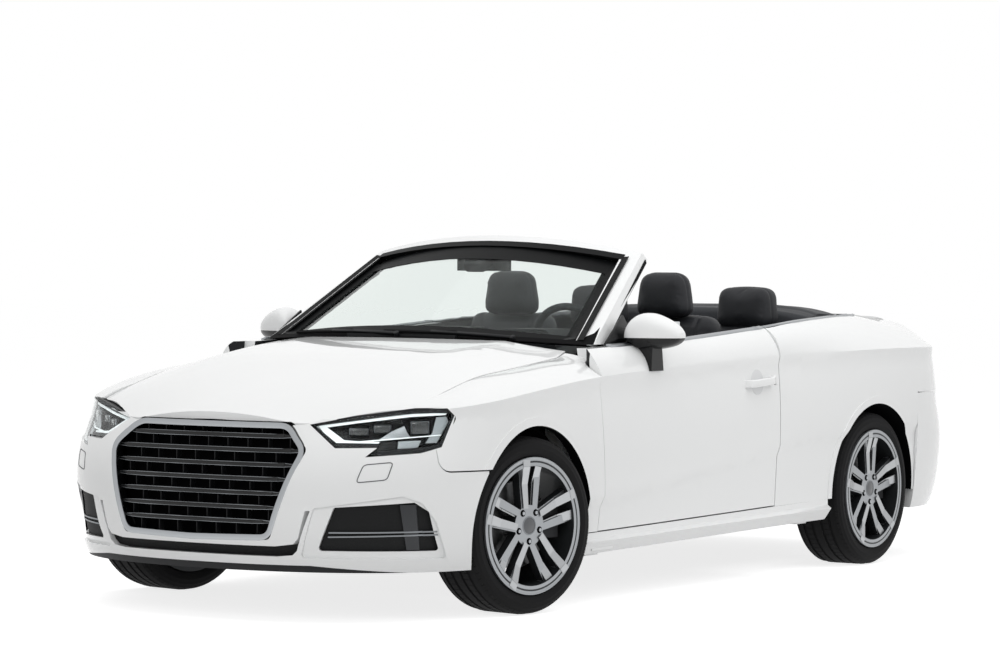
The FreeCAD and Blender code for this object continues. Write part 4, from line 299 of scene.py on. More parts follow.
@contextmanager
def edited(mesh: bpy.types.Mesh) -> Iterator[bmesh.types.BMesh]:
    """Opens a mesh for the mesh operators and writes it back afterwards.

    Args:
        mesh: the mesh to change.

    Yields:
        The bmesh that holds it meanwhile.
    """
    shell = bmesh.new()
    shell.from_mesh(mesh)
    yield shell
    shell.to_mesh(mesh)
    shell.free()


def cut(shell: bmesh.types.BMesh, place: Sequence[float], normal: Sequence[float]) -> None:
    """Divides every face that a plane crosses.

    Args:
        shell: the mesh.
        place: a point of the plane.
        normal: the plane's normal.
    """
    bmesh.ops.bisect_plane(shell, geom=shell.verts[:] + shell.edges[:] + shell.faces[:],
                           plane_co=place, plane_no=normal)


def shade(mesh: bpy.types.Mesh, angle_deg: float) -> None:
    """Shades a mesh smooth, with edges sharper than an angle left crisp.

    Args:
        mesh: the mesh to shade.
        angle_deg: the largest angle that still shades smooth.
    """
    with edited(mesh) as shell:
        for face in shell.faces:
            face.smooth = True
        for edge in shell.edges:
            angle = edge.calc_face_angle(math.pi) if len(edge.link_faces) == 2 else math.pi
            edge.smooth = angle < math.radians(angle_deg)


def dress(piece: bpy.types.Object, finish: Finish, body: Body) -> bpy.types.Object:
    """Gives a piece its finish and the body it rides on.

    Args:
        piece: the finished piece.
        finish: what it is made of.
        body: the body that it moves with.

    Returns:
        The piece.
    """
    piece.data.materials.clear()
    piece.data.materials.append(finish.build())
    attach(piece, body.value)
    return piece


def mark(piece: bpy.types.Object, finish: Finish, chosen: Callable[[bpy.types.MeshPolygon], bool]) -> None:
    """Gives the faces that pass a test a further finish.

    Args:
        piece: the piece.
        finish: the further finish.
        chosen: the test that each face is put to.
    """
    piece.data.materials.append(finish.build())
    for face in piece.data.polygons:
        if chosen(face):
            face.material_index = len(piece.data.materials) - 1


@dataclass
class Panels:
    """The car's CAD pieces, each as a merged and smooth-shaded copy in its real finish, with painted shade in
    the arches and behind the grille.
    """

    sharp_deg: float = 28.0
    lip_height: float = 0.204
    lip_turn: float = 0.45
    lip_slope: float = 0.0895
    cowl_height: float = 0.990
    stub_rear: float = -0.70
    stub_top: float = 0.900
    valance_height: float = 0.315
    valance_half: float = 0.60
    axles: tuple[float, float] = (-1.3435, 1.2515)
    axle_height: float = 0.3186
    arch_reach: float = 0.372
    arch_foot: float = 0.22
    inward_least: float = 0.35
    finishes: dict[str, Finish] = field(default_factory=lambda: {
        "paint": PAINT, "trim": MOULDED_PLASTIC, "glass": LAMINATED_GLASS, "satin": INTAKE_BLACK,
        "reflector": GLOSS_BLACK, "lens": CLEAR_POLYCARBONATE, "red_lens": RED_ACRYLIC, "carpet": CARPET,
        "seat": SEAT_LEATHER, "hood_cloth": ROOF_CLOTH, "dash": DASH_SKIN, "grip": SEAT_LEATHER,
        "cast": CAST_IRON, "alloy": WHEEL_ALLOY, "steel": CHASSIS_STEEL, "tyre": TYRE_RUBBER})
    # The radiator and front frame behind the grille are near black as painted shade; the wheel liners are
    # black felt
    special: dict[str, Finish] = field(default_factory=lambda: {
        "wheel_liners": FELT_AND_PAINTED_SHADE, "lower_grilles": INTAKE_BLACK, "interior_mirror": GLOSS_BLACK,
        "radiator": FELT_AND_PAINTED_SHADE, "front_frame": FELT_AND_PAINTED_SHADE})

    def smooth_copy(self, node: str, finish: Finish) -> bpy.types.Object:
        """Stands a merged, smooth-shaded copy in a node's place.

        Args:
            node: the CAD node.
            finish: its finish.

        Returns:
            The new piece.
        """
        source = frame["nodes"][node]
        mesh = source.data.copy()
        with edited(mesh) as shell:
            bmesh.ops.remove_doubles(shell, verts=shell.verts, dist=MERGE)
            if node.startswith("side_frame"):
                for vert in (v for v in shell.verts if v.co.y < self.stub_rear):
                    vert.co.z = min(vert.co.z, self.stub_top)
        if "custom_normal" in mesh.attributes:
            mesh.attributes.remove(mesh.attributes["custom_normal"])
        shade(mesh, self.sharp_deg)
        piece = dress(place_in_scene(node + "_skin", mesh), finish, Body(source["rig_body"]))
        self.further_finishes(piece, node)
        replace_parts(piece, node)
        return piece

    def in_arch(self, face: bpy.types.MeshPolygon) -> bool:
        """Tells whether a face is an inner side of a wheel arch."""
        near = any(math.hypot(face.center.y - y, face.center.z - self.axle_height) < self.arch_reach
                   for y in self.axles)
        return near and abs(face.normal.x) < 0.6 and face.center.z > self.arch_foot

    def round_glass(self, face: bpy.types.MeshPolygon) -> bool:
        """Tells whether a face of the windscreen's frame is a black rim, foot or inner side."""
        inward = face.normal.x * math.copysign(1, face.center.x) < -0.4
        foot = face.center.z < self.cowl_height and abs(face.normal.x) < 0.6
        return foot or inward or face.normal.y > 0.5 or face.normal.z < -0.5

    def under_lip(self, face: bpy.types.MeshPolygon) -> bool:
        """Tells whether a face of the front bumper is below its painted lip."""
        drop = max(0.0, abs(face.center.x) - self.lip_turn) * self.lip_slope
        return face.center.z < self.lip_height - drop

    def in_valance(self, face: bpy.types.MeshPolygon) -> bool:
        """Tells whether a face of the rear bumper is its black lower part."""
        return (face.center.z < self.valance_height and abs(face.center.x) < self.valance_half
                and face.normal.y > 0.1)

    def further_finishes(self, piece: bpy.types.Object, node: str) -> None:
        """Gives arches their black plastic or painted shade, and the cabin's sides, seals and the bumpers'
        feet their darker finishes.

        Args:
            piece: the smooth copy.
            node: the CAD node that it stands for.
        """
        side = 1 if node.endswith("left") else -1
        if node.startswith(("fender_", "quarter_", "front_bumper", "rear_bumper")):
            # Inner sides of the arches: the front bumper's own black plastic, and elsewhere near black
            # painted shade over the paint
            mark(piece, MOULDED_PLASTIC if node == "front_bumper" else FELT_AND_PAINTED_SHADE, self.in_arch)
        if node.startswith(("door_", "quarter_", "side_frame_")):
            mark(piece, DASH_SKIN, lambda face: face.normal.x * side < -self.inward_least)
        if node == "windscreen_frame":
            mark(piece, SEAL_RUBBER, self.round_glass)
        if node == "front_bumper":
            with edited(piece.data) as shell:
                for way in (-1, 0, 1):
                    cut(shell, (way * self.lip_turn, 0, self.lip_height), (way * self.lip_slope, 0, 1))
            mark(piece, MOULDED_PLASTIC, self.under_lip)
        if node == "rear_bumper":
            with edited(piece.data) as shell:
                cut(shell, (0, 0, self.valance_height), UP)
                for way in (-1, 1):
                    cut(shell, (way * self.valance_half, 0, 0), (1, 0, 0))
            mark(piece, MOULDED_PLASTIC, self.in_valance)

    def build(self, left_out: Iterable[str]) -> None:
        """Copies every node that no detailed piece replaces.

        Args:
            left_out: nodes that other classes stand pieces for.
        """
        for row in frame["record"]["subparts"]:
            node, slot = row["node"], row["material_slot"]
            if node not in left_out:
                self.smooth_copy(node, self.special.get(node, self.finishes[slot]))
                LOG.info("panel %s", node)


def framed(place: Vector, along: Vector, up: Vector) -> Matrix:
    """Makes the matrix of a section that stands square on a route.

    Args:
        place: the section's centre.
        along: the way that the route runs there.
        up: the section's upper side.

    Returns:
        The matrix, with X to the side, Y up and Z along the route.
    """
    forward = along.normalized()
    side = up.cross(forward).normalized()
    turn = Matrix((side, forward.cross(side), forward)).transposed().to_4x4()
    turn.translation = place
    return turn


class Shell:
    """A mesh in the making, in metres, shaped by mesh operators and finished as one piece."""

    def __init__(self) -> None:
        """Starts an empty mesh."""
        self.mesh = bmesh.new()

    def box(self, low: Sequence[float], high: Sequence[float], turn: Optional[Matrix] = None) -> None:
        """Adds a box between two corners.

        Args:
            low: the lowest corner.
            high: the highest corner.
            turn: a matrix that places the box afterwards.
        """
        low, high = Vector(low), Vector(high)
        place = Matrix.LocRotScale((low + high) / 2, None, high - low)
        bmesh.ops.create_cube(self.mesh, size=1.0, matrix=(turn or Matrix()) @ place)

    def rod(self, start: Vector, end: Vector, radius: float, tip: Optional[float] = None,
            sides: int = 24) -> None:
        """Adds a round rod or cone between two points.

        Args:
            start: the centre of its foot.
            end: the centre of its tip.
            radius: the foot's radius.
            tip: the tip's radius, where it differs.
            sides: how many sides it has.
        """
        start, end = Vector(start), Vector(end)
        run = end - start
        up = UP if abs(run.normalized().z) < 0.9 else BACKWARD
        bmesh.ops.create_cone(self.mesh, cap_ends=True, segments=sides, radius1=radius,
                              radius2=radius if tip is None else tip, depth=run.length,
                              matrix=framed((start + end) / 2, run, up))

    def plate(self, outline: Sequence[Vector], depth: Vector) -> None:
        """Adds a plate from its outline.

        Args:
            outline: the points round its face.
            depth: the way and thickness that the face is carried.
        """
        points = [self.mesh.verts.new(point) for point in outline]
        face = bmesh.ops.contextual_create(self.mesh, geom=points)["faces"]
        carried = bmesh.ops.extrude_face_region(self.mesh, geom=face, use_keep_orig=True)["geom"]
        moved = [g for g in carried if isinstance(g, bmesh.types.BMVert)]
        bmesh.ops.translate(self.mesh, vec=depth, verts=moved)

    def sweep(self, route: Sequence[Vector], half_width: float, half_height: float,
              ups: Sequence[Vector], sides: int = 4, closed: bool = False) -> None:
        """Carries a section along a route.

        Args:
            route: the centres of its stations.
            half_width: half of the section's width.
            half_height: half of its height.
            ups: the upper side at each station, or one for all.
            sides: how many sides the section has; four makes a flat strip.
            closed: True where the route ends where it starts.
        """
        count = len(route)
        corner = math.sqrt(2) if sides == 4 else 1.0
        scale = Matrix.Diagonal((half_width * corner, half_height * corner, 1, 1))
        first_turn = Matrix.Rotation(math.pi / 4 if sides == 4 else 0, 4, "Z")
        rings = []
        for i, place in enumerate(route):
            after = route[(i + 1) % count] if closed else route[min(i + 1, count - 1)]
            before = route[i - 1] if closed else route[max(i - 1, 0)]
            up = ups[i] if len(ups) > 1 else ups[0]
            capped = not closed and i in (0, count - 1)
            station = framed(place, after - before, up) @ scale @ first_turn
            ring = bmesh.ops.create_circle(self.mesh, cap_ends=capped, segments=sides, radius=1.0,
                                           matrix=station)["verts"]
            rings.append(list({edge for vert in ring for edge in vert.link_edges}))
        pairs = list(zip(rings, rings[1:])) + ([(rings[-1], rings[0])] if closed else [])
        for one, other in pairs:
            bmesh.ops.bridge_loops(self.mesh, edges=one + other)

    def spun(self, profile: Sequence[tuple[float, float]], centre: Vector, axis: Vector, steps: int = 64,
             closed: bool = False) -> None:
        """Spins a profile all the way round an axis.

        Args:
            profile: (radius, distance along the axis) of each point.
            centre: the point of the axis from which distances count.
            axis: the axis, one long.
            steps: how many steps the turn takes.
            closed: True where the profile's last point joins its first.
        """
        out = axis.orthogonal().normalized()
        points = [self.mesh.verts.new(centre + out * r + axis * a) for r, a in profile]
        ends = points[1:] + points[:1] if closed else points[1:]
        edges = [self.mesh.edges.new(pair) for pair in zip(points, ends)]
        bmesh.ops.spin(self.mesh, geom=points + edges, cent=centre, axis=axis, angle=math.tau, steps=steps,
                       use_merge=True, use_duplicate=False, dvec=(0, 0, 0))

    def bevel(self, width: float, segments: int = 2, least_deg: float = 30.0) -> None:
        """Rounds every edge that turns sharply.

        Args:
            width: the width of the round.
            segments: how many flats make it.
            least_deg: the least turn that counts as sharp.
        """
        edges = [e for e in self.mesh.edges
                 if len(e.link_faces) == 2 and e.calc_face_angle(0) > math.radians(least_deg)]
        bmesh.ops.bevel(self.mesh, geom=edges, offset=width, offset_type="OFFSET", segments=segments,
                        profile=0.5, affect="EDGES", material=-1, clamp_overlap=True)

    def mirrored(self) -> None:
        """Adds the same shape on the car's other side."""
        everything = self.mesh.verts[:] + self.mesh.edges[:] + self.mesh.faces[:]
        twin = bmesh.ops.duplicate(self.mesh, geom=everything)
        verts = [g for g in twin["geom"] if isinstance(g, bmesh.types.BMVert)]
        bmesh.ops.scale(self.mesh, vec=(-1, 1, 1), verts=verts)

    def finish(self, name: str, finish: Finish, body: Body, slot: str, sharp_deg: float = 35.0,
               round_by: float = 0.0, rounds: int = 2, twin: bool = False) -> bpy.types.Object:
        """Closes the mesh and stands it in the scene as a dressed piece.

        Args:
            name: the piece's name.
            finish: what it is made of.
            body: the body it rides on.
            slot: not used.
            sharp_deg: the largest angle that shades smooth.
            round_by: the width of its edges' round, if any.
            rounds: how many flats make that round.
            twin: True where the same shape is added on the car's other side.

        Returns:
            The piece.
        """
        if round_by:
            self.bevel(round_by, rounds)
        if twin:
            self.mirrored()
        bmesh.ops.remove_doubles(self.mesh, verts=self.mesh.verts, dist=MERGE)
        bmesh.ops.recalc_face_normals(self.mesh, faces=self.mesh.faces)
        mesh = bpy.data.meshes.new(name)
        self.mesh.to_mesh(mesh)
        self.mesh.free()
        shade(mesh, sharp_deg)
        LOG.info("piece %s", name)
        return dress(place_in_scene(name, mesh), finish, body)


class Skin:
    """The outside of CAD nodes, on which pieces are seated."""

    def __init__(self, *nodes: str) -> None:
        """Takes the meshes of the named nodes."""
        shell = bmesh.new()
        for node in nodes:
            shell.from_mesh(frame["nodes"][node].data)
        self.tree = BVHTree.FromBMesh(shell)
        shell.free()

    def cast(self, start: Sequence[float], way: Sequence[float],
             middle: Optional[Vector] = None) -> tuple[Vector, Vector]:
        """Finds the first place on the skin along a way.

        Args:
            start: where the search begins.
            way: its direction.
            middle: where to search instead, step by step, past the skin's edge.

        Returns:
            The place, straight ahead of the start, and the skin's outward side there.
        """
        start, way = Vector(start), Vector(way)
        for step in range(51):
            source = start.lerp(middle, step / 50) if middle else start
            place, normal, _, _ = self.tree.ray_cast(source, way)
            if place is not None:
                flip = -1 if normal.dot(way) > 0 else 1
                return start + way * (place - source).dot(way), normal * flip
        raise ValueError(f"no skin from {tuple(start)} along {tuple(way)}")


def rounded_loop(corners: Sequence[Sequence[float]], radius: float, steps: int, run: float) -> list[Vector]:
    """Rounds the corners of a flat loop and divides its straight runs.

    Args:
        corners: the loop's corners in its own plane.
        radius: how far from a corner its round begins.
        steps: how many steps a round takes.
        run: the longest straight step.

    Returns:
        The points of the rounded loop.
    """
    points = []
    count = len(corners)
    for i in range(count):
        here = Vector(corners[i])
        before = (Vector(corners[i - 1]) - here).normalized() * radius + here
        after = (Vector(corners[(i + 1) % count]) - here).normalized() * radius + here
        for s in range(steps + 1):
            t = s / steps
            points.append(before * (1 - t) ** 2 + here * 2 * t * (1 - t) + after * t * t)
        ahead = Vector(corners[(i + 1) % count])
        stop = (here - ahead).normalized() * radius + ahead
        extra = int((stop - after).length / run)
        points += [after.lerp(stop, k / (extra + 1)) for k in range(1, extra + 1)]
    return points


def inset_loop(corners: Sequence[Sequence[float]], amount: float) -> list[Vector]:
    """Moves each side of a flat loop, run clockwise, inwards by an amount.

    Args:
        corners: the loop's corners.
        amount: how far the sides move in.

    Returns:
        The corners of the smaller loop.
    """
    moved = []
    count = len(corners)
    for i in range(count):
        here = Vector(corners[i])
        first = (here - Vector(corners[i - 1])).normalized()
        second = (Vector(corners[(i + 1) % count]) - here).normalized()
        normal = (Vector((first.y, -first.x)) + Vector((second.y, -second.x))).normalized()
        moved.append(here + normal * amount / max(normal.dot(Vector((first.y, -first.x))), 0.3))
    return moved


@dataclass
class Grille:
    """The six-sided radiator grille: silver frame, seven black slats with bright edges, and dividers."""

    corners: tuple = ((0.3335, 0.6919), (0.4321, 0.6034), (0.3227, 0.2915))
    middle_low: float = 0.2847
    round: float = 0.034
    round_steps: int = 6
    longest_run: float = 0.05
    frame_half: float = 0.0105
    frame_in: float = 0.0085
    frame_proud: float = 0.0045
    frame_round: float = 0.0025
    carrier_half: float = 0.016
    slat_low: float = 0.3530
    slat_pitch: float = 0.0490
    slat_count: int = 7
    slat_steps: int = 8
    slat_half: float = 0.0068
    slat_depth: float = 0.016
    slat_back: float = 0.012
    slat_over: float = 0.004
    edge_half: float = 0.0013
    edge_proud: float = 0.0005
    edge_pinch: float = 0.65
    taper: float = 0.055
    divider_pitch: float = 0.086
    divider_half: float = 0.0018
    divider_depth: float = 0.026
    divider_gap: float = 0.02
    backing_depth: float = 0.062
    backing_over: float = 0.008
    backing_low: float = 0.010
    backing_top: float = 0.006
    lean_power: float = 2.2
    bow_power: float = 2.3
    skin: Skin = field(default_factory=lambda: Skin("grille"))

    def loop(self, inset: float) -> list[Vector]:
        """Gives the outline's points on the nose, clockwise from the upper left.

        Args:
            inset: how far inside the outline the points lie.

        Returns:
            The points, each on the grille's front.
        """
        half = list(self.corners)
        flat = [(-x, z) for x, z in half[::-1]] + half + [(0.0, self.middle_low)]
        rounded = rounded_loop(inset_loop(flat, inset), self.round, self.round_steps, self.longest_run)
        return [self.skin.cast((p.x, AHEAD, p.y), BACKWARD)[0] for p in rounded]

    def half_at(self, height: float) -> float:
        """Gives the half width of the opening inside the frame at a height."""
        (x0, z0), (x1, z1), (x2, z2) = self.corners
        if height > z1:
            edge = x0 + (x1 - x0) * (z0 - height) / (z0 - z1)
        else:
            edge = x2 + (x1 - x2) * (height - z2) / (z1 - z2)
        return edge - self.frame_in - self.frame_half

    def lean(self, height: float) -> float:
        """Gives how far back the middle of the nose stands at a height."""
        low, high = self.middle_low + self.frame_in, self.corners[0][1] - self.frame_in
        foot, top = (self.skin.cast((0, AHEAD, z), BACKWARD)[0].y for z in (low, high))
        share = (height - self.middle_low) / (self.corners[0][1] - self.middle_low)
        return foot + (top - foot) * share ** self.lean_power

    @property
    def bow(self) -> float:
        """How far the frame's outer corner stands behind its middle."""
        x, z = self.corners[1]
        return self.skin.cast((x - self.frame_in, AHEAD, z), BACKWARD)[0].y - self.lean(z)

    def front(self, x: float, height: float, back: float = 0.0) -> Vector:
        """Gives a point of the grille's own curve.

        Args:
            x: its place across the car.
            height: its height.
            back: how far behind the curve it lies.

        Returns:
            The point.
        """
        bow = self.bow * (abs(x) / self.corners[1][0]) ** self.bow_power
        return Vector((x, self.lean(height) + bow + back, height))

    def frame_ring(self) -> None:
        """Builds the silver frame and the black carrier behind it."""
        shell, carrier = Shell(), Shell()
        loop = self.loop(self.frame_in)
        shell.sweep([p - BACKWARD * (self.frame_proud / 2) for p in loop], self.frame_half, self.frame_proud,
                    [-BACKWARD], closed=True)
        ring = shell.finish("grille_frame_trim", SATIN_ALUMINIUM, Body.CAR, "satin", 50, self.frame_round, 3)
        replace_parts(ring, "grille")
        carrier.sweep([p + BACKWARD * self.carrier_half for p in loop], self.frame_half, self.carrier_half,
                      [-BACKWARD], closed=True)
        carrier.finish("grille_carrier", GLOSS_BLACK, Body.CAR, "trim")

    def slats(self) -> None:
        """Builds the slats and their bright edges."""
        slat, edges = Shell(), Shell()
        for row in range(self.slat_count):
            z = self.slat_low + row * self.slat_pitch
            half = self.half_at(z) + self.slat_over
            places = [half * (i / self.slat_steps - 1) for i in range(2 * self.slat_steps + 1)]
            slat.sweep([self.front(x, z, self.slat_back + self.slat_depth / 2) for x in places],
                       self.slat_half, self.slat_depth / 2, [-BACKWARD])
            for side in (-1, 1):
                line = []
                for x in sorted(places + [half - self.taper / 2, self.taper / 2 - half]):
                    pinch = min(1.0, (half - abs(x)) / self.taper)
                    rise = side * self.slat_half * (1 - self.edge_pinch + self.edge_pinch * pinch)
                    line.append(self.front(x, z + rise, self.slat_back - self.edge_proud))
                edges.sweep(line, self.edge_half, self.edge_half, [-BACKWARD], sides=6)
        slat.finish("grille_slats", GLOSS_BLACK, Body.CAR, "trim", round_by=0.002)
        edges.finish("grille_slat_edges", SLAT_ALUMINIUM, Body.CAR, "satin", 60)

    def dividers(self) -> None:
        """Builds the dividers between the slats, staggered row by row."""
        shell = Shell()
        for row in range(self.slat_count + 1):
            z = self.slat_low + (row - 0.5) * self.slat_pitch
            count = int(self.half_at(z) / self.divider_pitch) + 1
            for i in range(-count, count + 1):
                x = (i + (0.5 if row % 2 else 0.0)) * self.divider_pitch
                if abs(x) <= self.half_at(z) - self.divider_gap:
                    middle = self.front(x, z, self.slat_back + self.slat_depth)
                    shell.box(middle - Vector((self.divider_half, 0, self.slat_pitch / 2)),
                              middle + Vector((self.divider_half, self.divider_depth, self.slat_pitch / 2)))
        shell.finish("grille_dividers", MOULDED_PLASTIC, Body.CAR, "trim")

    def backing(self) -> None:
        """Builds the dark sheet of painted shade that closes the view behind the slats."""
        shell = Shell()
        bmesh.ops.create_grid(shell.mesh, x_segments=12, y_segments=10, size=1.0)
        low, high = self.middle_low + self.backing_low, self.corners[0][1] - self.backing_top
        for vert in shell.mesh.verts:
            z = low + (high - low) * (vert.co.y + 1) / 2
            half = self.half_at(max(z, self.corners[2][1])) + self.backing_over
            vert.co = self.front(vert.co.x * half, z, self.backing_depth)
        shell.finish("grille_painted_shade_backing", FELT_AND_PAINTED_SHADE, Body.CAR, "trim")

    def build(self) -> None:
        """Builds the whole grille."""
        self.frame_ring()
        self.slats()
        self.backing()
        self.dividers()


@dataclass(frozen=True)
class LampPlate:
    """One plate inside a headlamp: its outline in (across, up) millimetres, and how deep it lies."""

    name: str
    outline: tuple
    depth: float
    thick: float
    finish: Finish
    slot: str


@dataclass(frozen=True)
class LampUnit:
    """One lamp unit: a dark pod, a ring and a bulging lens, placed in millimetres and sized in metres."""

    name: str
    across: float
    up: float
    width: float
    height: float
    depth: float


@dataclass
class Headlamps:
    """The pair of headlamps behind their clear covers: light guides, lamp units, fins and turn lamps."""

    facing: Vector = field(default_factory=lambda: Vector((0.62, -0.7846, 0.0)))
    middle: tuple = (-0.690, 0.668)
    outline: tuple = ((-940, 686), (-809, 710), (-590, 740), (-470, 741), (-456, 728), (-456, 712),
                      (-500, 618), (-537, 609), (-722, 593), (-743, 594), (-722, 619), (-867, 620))
    guide_depth: float = 0.016
    guide_thick: float = 0.008
    upper_guide: tuple = (((-929, 682), (-809, 705), (-602, 728), (-520, 731), (-478, 730)),
                          ((-893, 679), (-782, 696), (-602, 718), (-525, 722), (-484, 724)))
    lower_guide: tuple = (((-929, 682), (-865, 625), (-790, 624), (-721, 624)),
                          ((-893, 679), (-836, 637), (-785, 634), (-714, 633)))
    light_line: tuple = (((-842, 629), (-673, 643.5), (-500, 657)), ((-842, 625), (-673, 640), (-500, 654)))
    line_depth: float = 0.014
    line_thick: float = 0.006
    plate_round: float = 0.002
    back_panel: LampPlate = LampPlate("lamp_back_panels", ((-900, 684), (-617, 722), (-470, 730), (-505, 618),
                                                           (-735, 597), (-715, 618), (-850, 622)),
                                      0.066, 0.006, LAMP_BLACK, "reflector")
    plates: tuple = (
        LampPlate("lamp_fins", ((-716, 640), (-672, 668), (-628, 687), (-618, 664), (-606, 646)),
                  0.022, 0.008, SATIN_ALUMINIUM, "reflector"),
        LampPlate("lamp_turn_sections", ((-516, 716), (-480, 718), (-472, 700), (-515, 628), (-556, 627),
                                         (-530, 664)), 0.020, 0.010, FROSTED_GREY, "lens"),
        LampPlate("lamp_lower_units", ((-709, 631), (-654, 634), (-657, 610), (-733, 600)),
                  0.022, 0.012, GLOSS_BLACK, "reflector"),
        LampPlate("lamp_lower_plates", ((-650, 634), (-570, 637), (-583, 612), (-653, 609)),
                  0.018, 0.010, FROSTED_GREY, "reflector"))
    units: tuple = (LampUnit("lamp_inner_unit", -784, 664, 0.062, 0.026, 0.034),
                    LampUnit("lamp_middle_unit", -702, 674, 0.056, 0.028, 0.034),
                    LampUnit("lamp_main_unit", -573, 679, 0.060, 0.044, 0.026))
    # Each part of a unit: its name, growth, setback, depth, finish and slot
    unit_parts: tuple = (("pod", 1.18, 0.006, 0.030, GLOSS_BLACK, "reflector"),
                         ("ring", 1.10, 0.001, 0.010, SLAT_ALUMINIUM, "reflector"),
                         ("lens", 1.0, -0.003, 0.010, DARK_LENS, "lens"))
    unit_round_share: float = 0.28
    # The bands that follow the outline: half width, half height and depth
    housing: tuple = (0.0015, 0.030, 0.044)
    bezel: tuple = (0.0085, 0.004, 0.012)
    cover: Skin = field(default_factory=lambda: Skin("headlamp_lenses"))

    def at(self, across: float, up: float, depth: float) -> Vector:
        """Gives a point behind the left cover.

        Args:
            across: its place along the lamp, square to the way the lamp faces, in millimetres.
            up: its height in millimetres.
            depth: how far behind the cover's outside it lies, in metres.

        Returns:
            The point.
        """
        along = Vector((-self.facing.y, self.facing.x, 0))
        start = along * across * MM + UP * up * MM - self.facing * AHEAD
        middle = along * self.middle[0] + UP * self.middle[1] - self.facing * AHEAD
        return self.cover.cast(start, -self.facing, middle)[0] - self.facing * depth

    def strip(self, name: str, lines: Sequence, depth: float, thick: float) -> None:
        """Builds a flat light guide between two lines behind each cover.

        Args:
            name: the piece's name.
            lines: the points of its outer and its inner line.
            depth: how far behind the cover its face lies.
            thick: its thickness.
        """
        shell = Shell()
        outer, inner = lines
        for i in range(len(outer) - 1):
            quad = [self.at(*point, depth) for point in (outer[i], outer[i + 1], inner[i + 1], inner[i])]
            shell.plate(quad, -self.facing * thick)
        shell.finish(name, LIGHT_GUIDE, Body.CAR, "lens", 30, twin=True)

    def plate(self, plate: LampPlate) -> None:
        """Builds one plate behind each cover."""
        shell = Shell()
        shell.plate([self.at(*point, plate.depth) for point in plate.outline], -self.facing * plate.thick)
        shell.finish(plate.name, plate.finish, Body.CAR, plate.slot, round_by=self.plate_round, twin=True)

    def unit(self, unit: LampUnit) -> None:
        """Builds one lamp unit on each side."""
        front = framed(self.at(unit.across, unit.up, unit.depth), -self.facing, UP)
        for part, grow, back, deep, finish, slot in self.unit_parts:
            shell = Shell()
            half = Vector((unit.width * grow / 2, unit.height * grow / 2, deep / 2))
            middle = Vector((0, 0, back + deep / 2))
            shell.box(middle - half, middle + half, front)
            shell.bevel(min(unit.width, unit.height) * self.unit_round_share, 4, least_deg=60)
            shell.finish(f"{unit.name}_{part}", finish, Body.CAR, slot, 50, twin=True)

    def band(self, name: str, sizes: Sequence[float]) -> bpy.types.Object:
        """Builds a black band that runs round each lamp inside its cover.

        Args:
            name: the piece's name.
            sizes: its half width, half height and depth.

        Returns:
            The piece.
        """
        shell = Shell()
        half_width, half_height, depth = sizes
        shell.sweep([self.at(*point, depth) for point in self.outline], half_width, half_height,
                    [self.facing], closed=True)
        return shell.finish(name, LAMP_BLACK, Body.CAR, "reflector", twin=True)

    def build(self) -> None:
        """Builds both lamps."""
        self.strip("lamp_light_guides", self.upper_guide, self.guide_depth, self.guide_thick)
        self.strip("lamp_lower_light_guides", self.lower_guide, self.guide_depth, self.guide_thick)
        self.plate(self.back_panel)
        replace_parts(self.band("lamp_housings", self.housing), "headlamps")
        for unit in self.units:
            self.unit(unit)
        for plate in self.plates:
            self.plate(plate)
        self.strip("lamp_light_lines", self.light_line, self.line_depth, self.line_thick)
        self.band("lamp_bezels", self.bezel)


@dataclass
class NoseDetails:
    """What lies on and in the front bumper: washer covers, and the intakes' bars and uprights."""

    search_middle: float = 0.66
    washer_corners: tuple = ((0.623, 0.556), (0.702, 0.565), (0.692, 0.505), (0.608, 0.495))
    washer_round: float = 0.012
    washer_facing: tuple = (0.5, -0.87, 0)
    bars: tuple = (((0.512, 0.321), (0.789, 0.323)), ((0.509, 0.306), (0.791, 0.312)))
    bar_steps: int = 8
    bar_proud: float = 0.004
    upright: tuple = ((0.708, 0.418), (0.744, 0.418), (0.740, 0.261), (0.713, 0.261))
    upright_proud: float = 0.010
    upright_depth: float = 0.008
    skin: Skin = field(default_factory=lambda: Skin("front_bumper"))
    insert: Skin = field(default_factory=lambda: Skin("lower_grilles"))

    def on(self, skin: Skin, x: float, z: float, proud: float) -> Vector:
        """Gives a point on a skin seen from ahead, moved out by an amount."""
        place, normal = skin.cast((x, AHEAD, z), BACKWARD, Vector((self.search_middle, AHEAD, z)))
        return place + normal * proud

    def washer_covers(self) -> None:
        """Builds the thin shut line of each headlamp washer's cover."""
        shell = Shell()
        loop = rounded_loop(self.washer_corners, self.washer_round, 4, 0.03)
        shell.sweep([self.on(self.skin, p.x, p.y, 0.0004) for p in loop], 0.0016, 0.0008,
                    [Vector(self.washer_facing)], closed=True)
        shell.finish("washer_cover_lines", SHADOW_LINE, Body.CAR, "trim", twin=True)

    def intakes(self) -> None:
        """Builds the twin silver bars and the upright of each side intake."""
        bars, upright = Shell(), Shell()
        for start, end in self.bars:
            line = [Vector(start).lerp(Vector(end), i / self.bar_steps) for i in range(self.bar_steps + 1)]
            bars.sweep([self.on(self.insert, p.x, p.y, self.bar_proud) for p in line], 0.0028, 0.0035,
                       [-BACKWARD])
        bars.finish("intake_bars", SLAT_ALUMINIUM, Body.CAR, "satin", round_by=0.001, twin=True)
        upright.plate([self.on(self.insert, x, z, self.upright_proud) for x, z in self.upright],
                      BACKWARD * self.upright_depth)
        upright.finish("intake_uprights", SMOKED_PLASTIC, Body.CAR, "trim", round_by=0.002, twin=True)

    def build(self) -> None:
        """Builds them all."""
        self.washer_covers()
        self.intakes()


